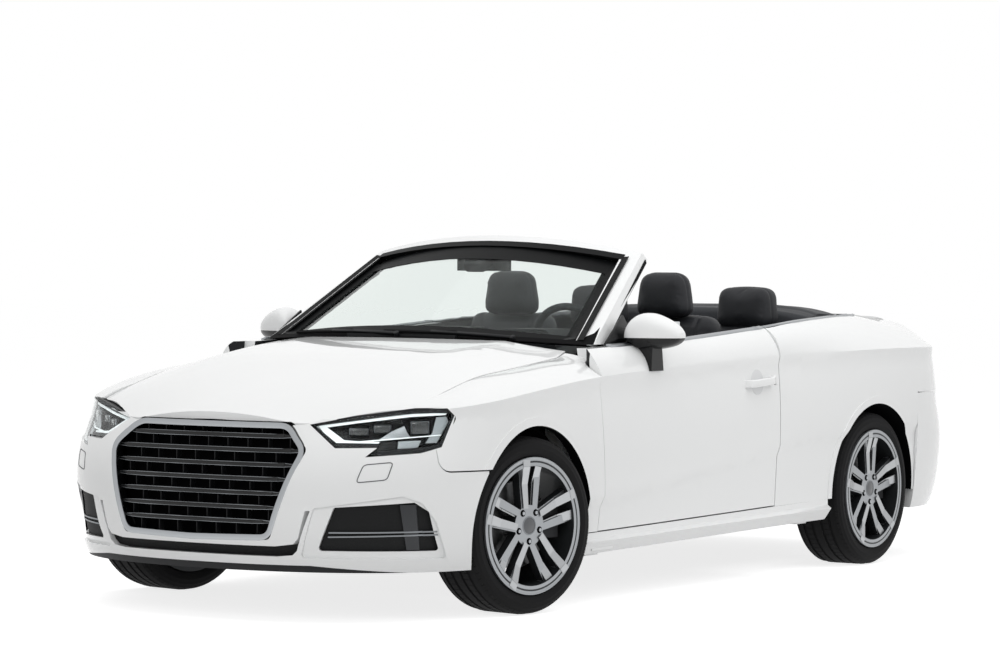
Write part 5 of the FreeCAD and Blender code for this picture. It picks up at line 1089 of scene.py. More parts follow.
@dataclass
class Wheel:
    """One road wheel: a tyre with tread, a cast rim with painted highlight on its spokes' fronts and painted
    shade in its hollows, bolts, cap and brake disc.
    """

    end: str
    body: Body
    centre: Vector
    axle: Vector
    tyre_radius: float = 0.3186
    tyre_half: float = 0.1125
    rim_radius: float = 0.245
    # The tyre's side as (radius, width) past the rim's edge, and then past the tread's edge
    bead: tuple = ((-0.002, -0.016), (0.006, -0.006), (0.018, -0.0015), (0.032, 0.0), (0.034, -0.001))
    shoulder: tuple = ((-0.024, -0.003), (-0.012, -0.010), (-0.004, -0.022))
    tread_depth: float = 0.007
    groove_middles: tuple = (0.062, 0.022)
    groove_mouth: float = 0.006
    groove_bed: float = 0.004
    crown_drop: float = 0.001
    blocks: int = 72
    block_gap: float = 0.0016
    block_sink: float = 0.003
    longest_side: float = 0.05
    tread_reach: float = 0.014
    inner_rib: tuple = (0.030, 0.054)
    outer_rib: tuple = (-0.030, -0.008)
    # Where the dressed rim shows brake disc, painted pocket shade or bright alloy
    disc_depth: float = 0.045
    disc_reach: float = 0.19
    spoke_reach: float = 0.206
    spoke_depth: float = 0.088
    barrel_depth: float = 0.075
    disc_face: float = 0.094
    bolt_circle: float = 0.056
    bolt_radius: float = 0.0085
    bolt_count: int = 5
    cap_radius: float = 0.034
    # The spoke's stations: radius, place beside its middle, half width and rise over the hub
    stations: tuple = ((0.062, 0.0220, 0.0120, 0.0), (0.150, 0.0307, 0.0150, 0.0),
                       (0.214, 0.0365, 0.0175, 0.0168), (0.2375, 0.0388, 0.0185, 0.0168))
    spoke_chamfer: float = 0.0055
    # Ring profiles as (radius past the rim's edge, place along the axle)
    lip_profile: tuple = ((-0.012, 0.1140), (-0.003, 0.1158), (0.0005, 0.1140), (-0.012, 0.111))
    well_profile: tuple = ((-0.032, 0.1146), (-0.0125, 0.1149), (-0.0125, 0.112), (-0.0315, 0.090))

    def apart(self, point: Vector) -> tuple[Vector, float]:
        """Splits a point's place into its way out from the axle and its place along the axle."""
        offset = point - self.centre
        along = offset.dot(self.axle)
        return offset - self.axle * along, along

    def tyre(self) -> None:
        """Builds the tyre: moulded sidewalls, a rounded shoulder and a grooved tread."""
        r, h = self.tyre_radius, self.tyre_half
        half = [(self.rim_radius + a, h + b) for a, b in self.bead]
        half += [(r + a, h + b) for a, b in self.shoulder]
        crown, bed = r - self.crown_drop, r - self.tread_depth
        for middle in self.groove_middles:
            half += [(crown, middle + self.groove_mouth), (bed, middle + self.groove_bed),
                     (bed, middle - self.groove_bed), (crown, middle - self.groove_mouth)]
        shell = Shell()
        profile = half + [(radius, -along) for radius, along in reversed(half)]
        shell.spun(profile, self.centre, self.axle, self.blocks)
        ribs = ((h + self.outer_rib[0], h + self.outer_rib[1]), self.inner_rib)
        faces = []
        for face in shell.mesh.faces:
            out, along = self.apart(face.calc_center_median())
            if out.length > r - self.tread_reach and any(low < abs(along) < high for low, high in ribs):
                faces.append(face)
        bmesh.ops.inset_individual(shell.mesh, faces=faces, thickness=self.block_gap, depth=0.0)
        tops = {v for f in faces for v in f.verts}
        for vert in tops:
            out, _ = self.apart(vert.co)
            vert.co += out.normalized() * min(0.0, r - out.length)
        block_edges = {e for f in faces for e in f.edges}
        known = set(faces)
        gaps = [f for f in shell.mesh.faces if f not in known and any(e in block_edges for e in f.edges)
                and f.calc_area() < self.block_gap * self.longest_side]
        for vert in {v for f in gaps for v in f.verts} - tops:
            vert.co -= self.apart(vert.co)[0].normalized() * self.block_sink
        tyre = shell.finish(f"tyre_{self.end}_rubber", TYRE_RUBBER, self.body, "tyre", 28)
        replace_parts(tyre, f"tyre_{self.end}")

    def rim(self, panels: Panels) -> None:
        """Gives the cast rim its brake disc, painted shade in its pockets and barrel, and bright alloy.

        Args:
            panels: the maker of smooth copies.
        """
        def is_disc(face: bpy.types.MeshPolygon) -> bool:
            """Tells whether a face is the brake disc's."""
            out, along = self.apart(face.center)
            return along < self.disc_depth and out.length < self.disc_reach

        def is_pocket(face: bpy.types.MeshPolygon) -> bool:
            """Tells whether a face lies in a pocket or in the barrel, which get painted shade."""
            out, along = self.apart(face.center)
            side = face.normal.dot(self.axle) < 0.55
            if out.length < self.spoke_reach:
                return not is_disc(face) and side and along < self.spoke_depth
            return along < self.barrel_depth

        rim = panels.smooth_copy(f"rim_{self.end}", WHEEL_ALLOY)
        mark(rim, TURNED_IRON, is_disc)
        # Pocket sides and the barrel get the alloy darkened as painted shade
        mark(rim, ALLOY_PAINTED_SHADE, is_pocket)

    def ring(self, name: str, finish: Finish, profile: Sequence, from_radius: float, steps: int) -> None:
        """Builds a ring round the axle.

        Args:
            name: the start of its name.
            finish: its finish.
            profile: (radius, place along the axle) of its closed profile.
            from_radius: what is added to each radius.
            steps: how many steps the turn takes.
        """
        shell = Shell()
        shell.spun([(from_radius + r, a) for r, a in profile], self.centre, self.axle, steps, closed=True)
        shell.finish(f"{name}_{self.end}", finish, self.body, "alloy")

    def fittings(self) -> None:
        """Builds the bolts in their wells of painted shade, the plain cap with its ring, and the rim's edge
        with a ring of painted shade in its well.
        """
        bolts, wells, cap = Shell(), Shell(), Shell()
        r, face = self.cap_radius, self.disc_face
        for i in range(self.bolt_count):
            turn = Matrix.Rotation(math.tau * (i + 0.5) / self.bolt_count, 3, self.axle)
            foot = self.centre + turn @ UP * self.bolt_circle + self.axle * (face - 0.004)
            bolts.rod(foot, foot + self.axle * 0.009, self.bolt_radius * 0.82, sides=6)
            wells.rod(foot, foot + self.axle * 0.0048, self.bolt_radius * 1.5, self.bolt_radius * 1.45, 20)
        # The wells round the bolts are near black as painted shade
        wells.finish(f"wheel_bolt_wells_{self.end}", FELT_AND_PAINTED_SHADE, self.body, "steel")
        bolts.finish(f"wheel_bolts_{self.end}", SATIN_ALUMINIUM, self.body, "steel")
        cap.spun([(0.0, face + 0.003), (r * 0.5, face + 0.0022), (r * 0.86, face), (r * 0.86, face - 0.012),
                  (0.0, face - 0.012)], self.centre, self.axle, 40)
        cap.finish(f"wheel_cap_{self.end}", CAP_GREY, self.body, "alloy")
        profile = ((r * 0.87, face + 0.001), (r, face + 0.0008), (r * 1.03, face - 0.012),
                   (r * 0.87, face - 0.012))
        self.ring("wheel_cap_ring", SLAT_ALUMINIUM, profile, 0.0, 40)
        self.ring("rim_lip", WHEEL_ALLOY, self.lip_profile, self.rim_radius, 96)
        # The well's ring is the alloy darkened as painted shade in the rim's barrel
        self.ring("rim_well", ALLOY_PAINTED_SHADE, self.well_profile, self.rim_radius, 96)

    def spoke(self, shell: Shell, out: Vector, across: Vector, side: int) -> None:
        """Builds one spoke's chamfered faces.

        Args:
            shell: the mesh that takes them.
            out: the way from the hub to the rim.
            across: the way square to it and to the axle.
            side: which of the twin spokes it is, -1 or 1.
        """
        for ends in zip(self.stations, self.stations[1:]):
            (root, half), (tip, tip_half) = [
                (self.centre + out * r + across * side * a + self.axle * (self.disc_face + h), across * w)
                for r, a, w, h in ends]
            corners = [root + half, tip + tip_half, tip - tip_half, root - half]
            points = [shell.mesh.verts.new(p) for p in corners]
            face = bmesh.ops.contextual_create(shell.mesh, geom=points)["faces"][0]
            face.normal_update()
            if face.normal.dot(self.axle) < 0:
                face.normal_flip()
                face.normal_update()
            bmesh.ops.inset_region(shell.mesh, faces=[face], thickness=self.spoke_chamfer,
                                   depth=self.spoke_chamfer, use_even_offset=True)

    def spokes(self) -> None:
        """Builds the ridged faces of the twin spokes: painted highlight on their fronts, painted shade on
        their chamfers.
        """
        shell = Shell()
        for i in range(self.bolt_count):
            turn = Matrix.Rotation(math.tau * i / self.bolt_count, 3, self.axle)
            for side in (-1, 1):
                self.spoke(shell, turn @ UP, turn @ UP.cross(self.axle), side)
        # The chamfers are the alloy darkened as painted shade
        piece = shell.finish(f"spoke_faces_{self.end}", ALLOY_PAINTED_SHADE, self.body, "alloy", 20)
        for face in piece.data.polygons:
            if face.normal.dot(self.axle) < 0:
                face.flip()
        # The front faces are the alloy brightened as painted highlight
        mark(piece, ALLOY_PAINTED_HIGHLIGHT, lambda face: abs(face.normal.dot(self.axle)) > 0.86)

    def build(self, panels: Panels) -> None:
        """Builds the whole wheel.

        Args:
            panels: the maker of smooth copies.
        """
        self.tyre()
        self.rim(panels)
        self.spokes()
        self.fittings()


@dataclass
class Wheels:
    """The four road wheels, the front pair turned as in the photograph."""

    front_y: float = -1.3435
    rear_y: float = 1.2515
    height: float = 0.3186
    front_half: float = 0.7775
    rear_half: float = 0.763
    pin_half: float = 0.7395
    turn_deg: float = -10.0

    def build(self, panels: Panels) -> None:
        """Builds all four.

        Args:
            panels: the maker of smooth copies.
        """
        bodies = {"fl": Body.FRONT_LEFT, "fr": Body.FRONT_RIGHT, "rl": Body.REAR_LEFT, "rr": Body.REAR_RIGHT}
        turn = Matrix.Rotation(math.radians(self.turn_deg), 3, "Z")
        for end, body in bodies.items():
            side = 1 if end[1] == "l" else -1
            axle = Vector((side, 0, 0))
            centre = Vector((side * self.rear_half, self.rear_y, self.height))
            if end[0] == "f":
                pin = Vector((side * self.pin_half, self.front_y, self.height))
                centre = pin + turn @ Vector((side * (self.front_half - self.pin_half), 0, 0))
                axle = turn @ axle
            Wheel(end, body, centre, axle).build(panels)


@dataclass
class Cushion:
    """One sewn and padded piece, blown up by cloth simulation from a rounded block."""

    name: str
    low: tuple
    high: tuple
    node: str = ""
    lean_deg: float = 0.0
    corner: float = 0.035
    taper: float = 0.0
    swell: float = 0.006
    seams: tuple = ()
    seam_width: float = 0.006
    longest_edge: float = 0.03
    voxel: float = 0.0065
    quick_voxel: float = 0.009
    pressure: float = 4.0
    last_frame: int = 12
    padding: float = 0.8

    @property
    def turn(self) -> Matrix:
        """The way from the cushion's own axes to the car's."""
        centre = (Vector(self.low) + Vector(self.high)) / 2
        return Matrix.Translation(centre) @ Matrix.Rotation(math.radians(self.lean_deg), 4, "X")

    def block(self) -> bpy.types.Object:
        """Builds the rounded block that the simulation starts from."""
        size = Vector(self.high) - Vector(self.low)
        shell = Shell()
        shell.box(-size / 2, size / 2)
        for vert in shell.mesh.verts:
            if vert.co.z > 0:
                vert.co.x *= 1 - self.taper
        shell.bevel(min(self.corner, min(size) * 0.45), 4, least_deg=60)
        bmesh.ops.subdivide_edges(shell.mesh, cuts=1, use_grid_fill=True, smooth=0.0,
                                  edges=[e for e in shell.mesh.edges if e.calc_length() > self.longest_edge])
        bmesh.ops.transform(shell.mesh, matrix=self.turn, verts=shell.mesh.verts)
        return shell.finish(self.name, SEAT_LEATHER, Body.CAR, "seat", 80)

    def inflate(self, piece: bpy.types.Object) -> None:
        """Swells the block a little, as foam does under its cover.

        Args:
            piece: the block's object.
        """
        remesh = piece.modifiers.new("even_mesh", "REMESH")
        remesh.mode = "VOXEL"
        remesh.voxel_size = self.voxel
        self.apply_to(piece)
        before = [v.co.copy() for v in piece.data.vertices]
        cloth = piece.modifiers.new("cover", "CLOTH")
        cloth.settings.use_pressure = True
        cloth.settings.uniform_pressure_force = self.pressure
        cloth.settings.effector_weights.gravity = 0.0
        cloth.settings.quality = 4
        for number in range(1, self.last_frame + 1):
            bpy.context.scene.frame_set(number)
        self.apply_to(piece)
        for vert, start in zip(piece.data.vertices, before):
            shift = vert.co - start
            if shift.length > self.swell:
                vert.co = start + shift.normalized() * self.swell
        bpy.context.scene.frame_set(1)

    def apply_to(self, piece: bpy.types.Object) -> None:
        """Applies a piece's modifiers to its mesh."""
        graph = bpy.context.evaluated_depsgraph_get()
        mesh = bpy.data.meshes.new_from_object(piece.evaluated_get(graph))
        piece.modifiers.clear()
        old, piece.data = piece.data, mesh
        bpy.data.meshes.remove(old)

    def sew(self, piece: bpy.types.Object) -> None:
        """Presses each seam into the cover.

        Args:
            piece: the swollen piece.
        """
        back = self.turn.inverted()
        with edited(piece.data) as shell:
            shell.normal_update()
            moves = []
            for vert in shell.verts:
                local = back @ vert.co
                sink = 0.0
                for axis, place, deep in self.seams:
                    gap = abs(local["xyz".index(axis)] - place)
                    sink = max(sink, deep * math.exp(-(gap / self.seam_width) ** 2))
                if sink:
                    moves.append((vert, vert.normal * -sink))
            for vert, move in moves:
                vert.co += move

    def build(self) -> bpy.types.Object:
        """Builds the cushion."""
        piece = self.block()
        self.inflate(piece)
        self.sew(piece)
        for face in piece.data.polygons:
            face.use_smooth = True
        if self.node:
            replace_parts(piece, self.node)
        return piece


@dataclass
class Seats:
    """The two front seats and the rear bench, sewn and padded in dark leather."""

    lean_deg: float = -8.4
    rear_lean_deg: float = -7.5
    margin: float = 0.004
    bench_margin: float = 0.003
    base_margin: float = 0.03
    base_rear: float = 0.33
    base_top: float = 0.37
    padding: float = 0.8

    def twin(self, piece: bpy.types.Object, name: str, node: str = "") -> None:
        """Stands the mirrored copy of a left piece on the car's right side.

        Args:
            piece: the left piece.
            name: the copy's name.
            node: the CAD node that it replaces, or an empty string.
        """
        shell = bmesh.new()
        shell.from_mesh(piece.data)
        bmesh.ops.scale(shell, vec=(-1, 1, 1), verts=shell.verts)
        bmesh.ops.reverse_faces(shell, faces=shell.faces)
        mesh = bpy.data.meshes.new(name)
        shell.to_mesh(mesh)
        shell.free()
        copy = dress(place_in_scene(name, mesh), SEAT_LEATHER, Body.CAR)
        if node:
            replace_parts(copy, node)

    def front_pair(self) -> None:
        """Builds the left front seat and its twin."""
        low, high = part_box("front_seat_left")
        inner, outer = low[0] + self.margin, high[0] - self.margin
        parts = (
            Cushion("seat_cushion_left", (inner, low[1] + self.margin, 0.372), (outer, 0.300, 0.487),
                    "front_seat_left", corner=0.038,
                    seams=(("x", 0.125, 0.006), ("x", -0.125, 0.006), ("y", 0.10, 0.004))),
            Cushion("seat_back_left", (inner, 0.335, 0.36), (outer, 0.458, 1.045), lean_deg=self.lean_deg,
                    corner=0.045, taper=0.12, seams=(("x", 0.125, 0.007), ("x", -0.125, 0.007),
                                                     ("z", 0.13, 0.005), ("z", -0.08, 0.004))),
            Cushion("head_rest_left", (0.243, 0.334, 1.035), (0.501, 0.446, 1.217),
                    corner=0.050, taper=0.22, swell=0.007, seams=(("y", -0.012, 0.004),)))
        for part in parts:
            self.twin(part.build(), part.name.replace("left", "right"), part.node.replace("left", "right"))
        shell = Shell()
        shell.box((low[0] + self.base_margin, low[1] + self.base_margin, low[2]),
                  (high[0] - self.base_margin, self.base_rear, self.base_top))
        shell.finish("seat_bases", MOULDED_PLASTIC, Body.CAR, "trim", round_by=0.012, rounds=3, twin=True)

    def bench(self) -> None:
        """Builds the rear bench."""
        low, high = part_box("rear_bench")
        half = high[0] - self.bench_margin
        Cushion("rear_bench_cushion", (-half, low[1] + self.margin, low[2] + 0.03), (half, 0.93, 0.493),
                "rear_bench", corner=0.05, seams=(("x", 0.13, 0.008), ("x", -0.13, 0.008))).build()
        Cushion("rear_bench_back", (-half, 0.978, 0.40), (half, 1.072, 1.003), lean_deg=self.rear_lean_deg,
                corner=0.04, seams=(("x", 0.11, 0.010), ("x", -0.11, 0.010), ("z", 0.16, 0.004))).build()
        head = Cushion("rear_head_rest_left", (0.236, 1.004, 0.985), (0.499, 1.136, 1.153),
                       corner=0.042, taper=0.12, seams=(("y", -0.015, 0.004),)).build()
        self.twin(head, "rear_head_rest_right")

    def build(self) -> None:
        """Builds every seat."""
        self.front_pair()
        self.bench()


@dataclass
class SoftTop:
    """The fabric top, folded flat behind the bench, with its side flaps."""

    half: float = 0.572
    front: float = 1.207
    rear: float = 1.652
    low: float = 0.9425
    heights: tuple = ((0.0, 1.040), (0.06, 1.062), (0.3, 1.079), (0.7, 1.071), (0.93, 1.050), (1.0, 1.020))
    edge_drop: float = 0.035
    edge_power: int = 5
    corner_draw: float = 0.065
    # Seams that cross the cover, and the ones along it, which draw together towards the rear
    ridge: float = 0.004
    seams: tuple = (0.22, 0.62)
    seam_width: float = 0.018
    side_seam: float = 0.55
    side_seam_draw: float = 0.10
    side_seam_width: float = 0.012
    ripple: float = 0.003
    hem_rise: float = 0.006
    hem_draw: float = 0.985
    padding: float = 0.5
    flap: tuple = ((0.735, 0.70, 1.000), (0.700, 0.86, 1.010), (0.664, 1.02, 1.018), (0.636, 1.16, 1.024),
                   (0.612, 1.30, 1.030), (0.575, 1.46, 1.032))
    flap_half: float = 0.052
    flap_thick: float = 0.006

    def height(self, share: float) -> float:
        """Reads the top's height at a share of its length."""
        for (a, low), (b, high) in zip(self.heights, self.heights[1:]):
            if share <= b:
                return low + (high - low) * (share - a) / (b - a)
        return self.heights[-1][1]

    def draped(self, across: float, along: float) -> Vector:
        """Gives a point of the cover.

        Args:
            across: from -1 at the right edge to 1 at the left.
            along: from 0 at the front to 1 at the rear.

        Returns:
            The point.
        """
        edge = abs(across) ** self.edge_power
        z = self.height(along) - self.edge_drop * edge
        for seam in self.seams:
            z -= self.ridge * math.exp(-((along - seam) / self.seam_width) ** 2)
        for side in (-1, 1):
            off = across - side * (self.side_seam - self.side_seam_draw * along)
            z -= self.ridge * math.exp(-(off / self.side_seam_width) ** 2)
        z += self.ripple * math.sin(along * 19 + across * 3) * (1 - edge)
        y = self.front + (self.rear - self.front - self.corner_draw * abs(across) ** 3) * along
        return Vector((across * self.half, y, z))

    def cover(self) -> None:
        """Builds the folded top as one draped, seamed cover."""
        shell = Shell()
        bmesh.ops.create_grid(shell.mesh, x_segments=72, y_segments=36, size=1.0)
        for vert in shell.mesh.verts:
            vert.co = self.draped(vert.co.x, (vert.co.y + 1) / 2)
        border = [e for e in shell.mesh.edges if e.is_boundary]
        wall = bmesh.ops.extrude_edge_only(shell.mesh, edges=border)["geom"]
        for vert in (g for g in wall if isinstance(g, bmesh.types.BMVert)):
            vert.co.z = self.low + self.hem_rise
            vert.co.x *= self.hem_draw
        bottom = [e for e in shell.mesh.edges if e.is_boundary]
        bmesh.ops.contextual_create(shell.mesh, geom=bottom)
        top = shell.finish("folded_top_cover", ROOF_CLOTH, Body.CAR, "hood_cloth", 60)
        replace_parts(top, "soft_top")

    def flaps(self) -> None:
        """Builds the flaps that close the sides beside the rear bench."""
        shell = Shell()
        shell.sweep([Vector(p) for p in self.flap], self.flap_half, self.flap_thick,
                    [Vector((-0.10, 0, 1)).normalized()])
        shell.finish("top_side_flaps", ROOF_CLOTH, Body.CAR, "hood_cloth", 40, 0.003, twin=True)

    def build(self) -> None:
        """Builds the cover and the flaps."""
        self.cover()
        self.flaps()


@dataclass
class Screen:
    """What borders the windscreen: printed black edge with painted shade at its top, seals, header liner,
    wipers and sensor housing.
    """

    low_corner: tuple = (0.7584, -0.7709, 0.9480)
    low_middle: tuple = (0.0, -0.9399, 0.9721)
    high_corner: tuple = (0.6204, -0.1999, 1.2953)
    high_middle: tuple = (0.0, -0.2986, 1.3600)
    out: Vector = field(default_factory=lambda: Vector((0.0, -0.52, 0.854)))
    steps: tuple = tuple(i / 12 for i in range(13))
    print_proud: float = 0.0014
    print_half: float = 0.0006
    # Bands up the sides: where they start and how far they run, across and up, and their width
    side_bands: tuple = ((0.872, -0.020, 0.05, 0.80, 0.052), (0.925, -0.008, 0.04, 0.88, 0.040))
    # Bands from side to side: half length, height on the screen, width; the first is print and painted shade
    # of what lies behind the glass under the header
    cross_bands: tuple = ((0.87, 0.835, 0.095), (0.915, 0.918, 0.036), (0.87, 0.075, 0.055))
    liner_depth: float = 0.050
    seal_depth: float = 0.040
    top_seal_depth: float = 0.036
    housing: tuple = ((-0.10, 0.90), (0.10, 0.90), (0.07, 0.74), (-0.07, 0.74))
    housing_gap: float = 0.012
    housing_depth: float = 0.045
    # Each wiper's pivot and tip, across the screen
    wiper_spans: tuple = ((0.62, -0.12), (-0.02, -0.76))
    wiper_foot: float = 0.006
    wiper_rise: float = 0.030
    wiper_lift: float = 0.007
    wiper_bow: float = 0.003
    arm_over: float = 0.006
    glass: Skin = field(default_factory=lambda: Skin("windscreen_glass", "windscreen_frame"))

    def at(self, across: float, rise: float, lift: float = 0.0) -> Vector:
        """Gives a point of the screen's own surface.

        Args:
            across: from -1 at the right edge to 1 at the left.
            rise: from 0 at the foot to 1 at the top.
            lift: how far out of the surface the point lies.

        Returns:
            The point.
        """
        rows = []
        for corner, middle in ((self.low_corner, self.low_middle), (self.high_corner, self.high_middle)):
            corner, middle = Vector(corner), Vector(middle)
            bent = middle + (corner - middle) * across ** 2
            rows.append(Vector((corner.x * across, bent.y, bent.z)))
        return rows[0].lerp(rows[1], rise) + self.out * lift

    def on_glass(self, across: float, rise: float) -> Vector:
        """Gives the point of the glass's outside at a place of the screen."""
        return self.glass.cast(self.at(across, rise, 0.3), -self.out, self.at(0.0, 0.5, 0.3))[0]

    def band(self, shell: Shell, route: Sequence, width: float) -> None:
        """Lays one printed band on the glass.

        Args:
            shell: the mesh that takes it.
            route: (across, rise) of its middle line.
            width: its width.
        """
        line = [self.on_glass(*p) + self.out * self.print_proud for p in route]
        shell.sweep(line, width / 2, self.print_half, [self.out])

    def printed_border(self) -> None:
        """Builds the black enamel round the glass, whose wide top band is also painted shade."""
        shell = Shell()
        for side in (-1, 1):
            for x, run, z, rise, width in self.side_bands:
                self.band(shell, [(side * (x + run * t), z + rise * t) for t in self.steps], width)
        for half, z, width in self.cross_bands:
            self.band(shell, [(half * (2 * t - 1), z) for t in self.steps], width)
        shell.finish("screen_printed_border_and_shade", FRIT_AND_PAINTED_SHADE, Body.CAR, "trim", 60)

    def liner(self) -> None:
        """Builds the lining on the inside of the screen's frame."""
        shell = Shell()
        shell.sweep([self.at(0.93 * (2 * t - 1), 0.945, -self.liner_depth) for t in self.steps],
                    0.042, 0.008, [self.out])
        for side in (-1, 1):
            shell.sweep([self.at(side * 0.955, 0.04 + 0.9 * t, -self.liner_depth) for t in self.steps],
                        0.026, 0.008, [self.out])
        shell.finish("screen_frame_liner", DASH_SKIN, Body.CAR, "dash", 40, 0.003)

    def seals(self) -> None:
        """Builds the rubber seals round the screen's frame."""
        shell = Shell()
        for side in (-1, 1):
            route = [self.at(side, t, -self.seal_depth) + Vector((side * 0.001, 0, 0)) for t in self.steps]
            shell.sweep(route, 0.008, 0.005, [Vector((side, 0, 0))])
        shell.sweep([self.at(0.99 * (2 * t - 1), 1.0, -self.top_seal_depth) for t in self.steps],
                    0.009, 0.008, [self.out], sides=8)
        shell.finish("screen_frame_seals", SEAL_RUBBER, Body.CAR, "trim", 60)

    def sensor_housing(self) -> None:
        """Builds the plain housing behind the top of the glass."""
        shell = Shell()
        outline = [self.at(across, rise, -self.housing_gap) for across, rise in self.housing]
        shell.plate(outline, -self.out * self.housing_depth)
        shell.finish("sensor_housing", MOULDED_PLASTIC, Body.CAR, "trim", 50, 0.012, 3)

    def wipers(self) -> None:
        """Builds the two parked wiper arms with their blades."""
        arms, blades = Shell(), Shell()
        for pivot, tip in self.wiper_spans:
            route = [self.at(pivot + (tip - pivot) * t, self.wiper_foot + self.wiper_rise * t,
                             self.wiper_lift + self.wiper_bow * math.sin(math.pi * t))
                     for t in (0, 0.2, 0.4, 0.6, 0.8, 1.0)]
            blades.sweep(route, 0.005, 0.004, [self.out])
            arm = [p + self.out * self.arm_over for p in route[:4]]
            arms.sweep(arm, 0.007, 0.003, [self.out])
            arms.rod(arm[0] - self.out * 0.010, arm[0] + self.out * 0.004, 0.011)
        blades.finish("wiper_blades", SEAL_RUBBER, Body.CAR, "trim")
        arms.finish("wiper_arms", MOULDED_PLASTIC, Body.CAR, "trim", round_by=0.0015)

    def build(self) -> None:
        """Builds everything round the screen."""
        self.printed_border()
        self.liner()
        self.seals()
        self.wipers()
        self.sensor_housing()


@dataclass
class SideTrim:
    """The bright belt strips, door handles, mirror housings and black sail pieces."""

    belt: tuple = ((-0.862, 0.8140, 0.9398), (-0.2455, 0.8221, 0.9575), (0.3538, 0.8194, 0.9929),
                   (0.7585, 0.7782, 1.0174), (1.1058, 0.7082, 1.0263), (1.4353, 0.6401, 1.0351),
                   (1.6586, 0.5738, 1.0310))
    strip_in: float = 0.010
    strip_up: float = 0.0035
    strip_half: float = 0.012
    strip_thick: float = 0.004
    strip_steps: int = 24
    strip_start: float = -0.74
    deck_gap: float = 0.004
    deck_end: float = 1.64
    deck_stop: float = 1.60
    cap_height: float = 0.975
    glass_half: tuple = (0.060, 0.002, 0.038)
    glass_height: float = 0.998
    glass_sink: float = 0.010
    handle_middle: tuple = (0.252, 0.789)
    handle_half: float = 0.103
    handle_slope: float = 0.006
    # The bow's stations along the handle, and how far out of the door each stands
    handle_bow: tuple = ((-1, -0.012), (-0.86, 0.020), (-0.6, 0.030), (-0.2, 0.030), (0.2, 0.030),
                         (0.6, 0.030), (0.86, 0.020), (1, -0.012))
    cup: tuple = ((0.0, -0.0004), (0.028, 0.0004), (0.044, 0.0012), (0.050, 0.0004), (0.050, -0.004),
                  (0.0, -0.004))
    cup_offset: float = -0.008
    outside: float = 1.2
    sail: tuple = ((0.783, -0.73, 0.948), (0.783, -0.50, 0.955), (0.760, -0.56, 1.060))
    sail_thick: float = 0.010

    def belt_point(self, y: float) -> Vector:
        """Reads the belt line at a place along the car."""
        for (y0, x0, z0), (y1, x1, z1) in zip(self.belt, self.belt[1:]):
            if y <= y1:
                t = (y - y0) / (y1 - y0)
                return Vector((x0 + (x1 - x0) * t, y, z0 + (z1 - z0) * t))
        return Vector((self.belt[-1][1], y, self.belt[-1][2]))

    def strip(self, name: str, places: Sequence[float], side: int, body: Body, up: Vector) -> None:
        """Builds one bright strip on the belt line.

        Args:
            name: the piece's name.
            places: how far along the car each of its points lies.
            side: 1 on the left, -1 on the right, and 0 on both.
            body: the body it rides on.
            up: which way it faces.
        """
        shell = Shell()
        points = [self.belt_point(y) for y in places]
        route = [Vector(((side or 1) * (p.x - self.strip_in), p.y, p.z + self.strip_up)) for p in points]
        shell.sweep(route, self.strip_half, self.strip_thick, [up])
        shell.finish(name, SATIN_ALUMINIUM, body, "satin", 50, 0.002, twin=not side)

    def strips(self) -> None:
        """Builds the bright strips on the doors and round the rear deck."""
        door = frame["nodes"]["door_left"].data
        end = max(v.co.y for v in door.vertices if v.co.z > 0.99) - 0.001
        shares = [i / self.strip_steps for i in range(self.strip_steps + 1)]
        places = [self.strip_start + (end - self.strip_start) * t for t in shares]
        for side, name, body in DOORS:
            up = Vector((side * 0.35, 0, 1)).normalized()
            self.strip(f"door_belt_strip_{name}", places, side, body, up)
        places = [end + self.deck_gap + (self.deck_end - end) * t for t in shares]
        self.strip("deck_belt_strip", [y for y in places if y < self.deck_stop], 0, Body.CAR, UP)

    def handles(self) -> None:
        """Builds the bow handles over their round cups."""
        y0, z0 = self.handle_middle
        for side, name, body in DOORS:
            skin = Skin(f"door_{name}")
            way = Vector((-side, 0, 0))
            out = side * self.outside
            places = []
            for t, lift in self.handle_bow:
                y, z = y0 + t * self.handle_half, z0 + self.handle_slope * t
                base = skin.cast((out, y, z), way, Vector((out, 0.0, z0)))[0].x
                places.append(Vector((base + side * lift, y, z)))
            bow, cup = Shell(), Shell()
            bow.sweep(places, 0.0155, 0.0075, [-way])
            bow.finish(f"door_handle_{name}", PAINT, body, "paint", 60, 0.005, 3)
            middle, normal = skin.cast((out, y0 + self.cup_offset, z0), way)
            cup.spun(self.cup, middle, normal, 40)
            # The cup is the white paint darkened as painted shade
            cup.finish(f"door_handle_cup_{name}", SHADOWED_PAINT, body, "paint", 60)

    def mirrors(self, panels: Panels) -> None:
        """Splits each door mirror into its painted cap and black lower half.

        Args:
            panels: the maker of smooth copies.
        """
        for _, side, body in DOORS:
            name = f"mirror_{side}"
            piece = panels.smooth_copy(name, PAINT)
            with edited(piece.data) as shell:
                cut(shell, (0, 0, self.cap_height), UP)
            mark(piece, GLOSS_BLACK, lambda face: face.center.z < self.cap_height or face.normal.y > 0.9)
            low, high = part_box(name)
            half, glass = Vector(self.glass_half), Shell()
            glass.box(-half, half, Matrix.Translation(((low[0] + high[0]) / 2, high[1] - self.glass_sink,
                                                       self.glass_height)))
            glass.bevel(0.022, 4, least_deg=60)
            glass.finish(f"{name}_glass", REFLECTOR, body, "satin", 40)

    def sails(self) -> None:
        """Builds the black triangle ahead of each side window."""
        for side, name, body in DOORS:
            shell = Shell()
            outline = [Vector((side * x, y, z)) for x, y, z in self.sail]
            shell.plate(outline, Vector((-side * self.sail_thick, 0, 0)))
            shell.finish(f"window_sail_{name}", GLOSS_BLACK, body, "trim", round_by=0.003)

    def build(self, panels: Panels) -> None:
        """Builds all of the side trim.

        Args:
            panels: the maker of smooth copies.
        """
        self.strips()
        self.handles()
        self.mirrors(panels)
        self.sails()


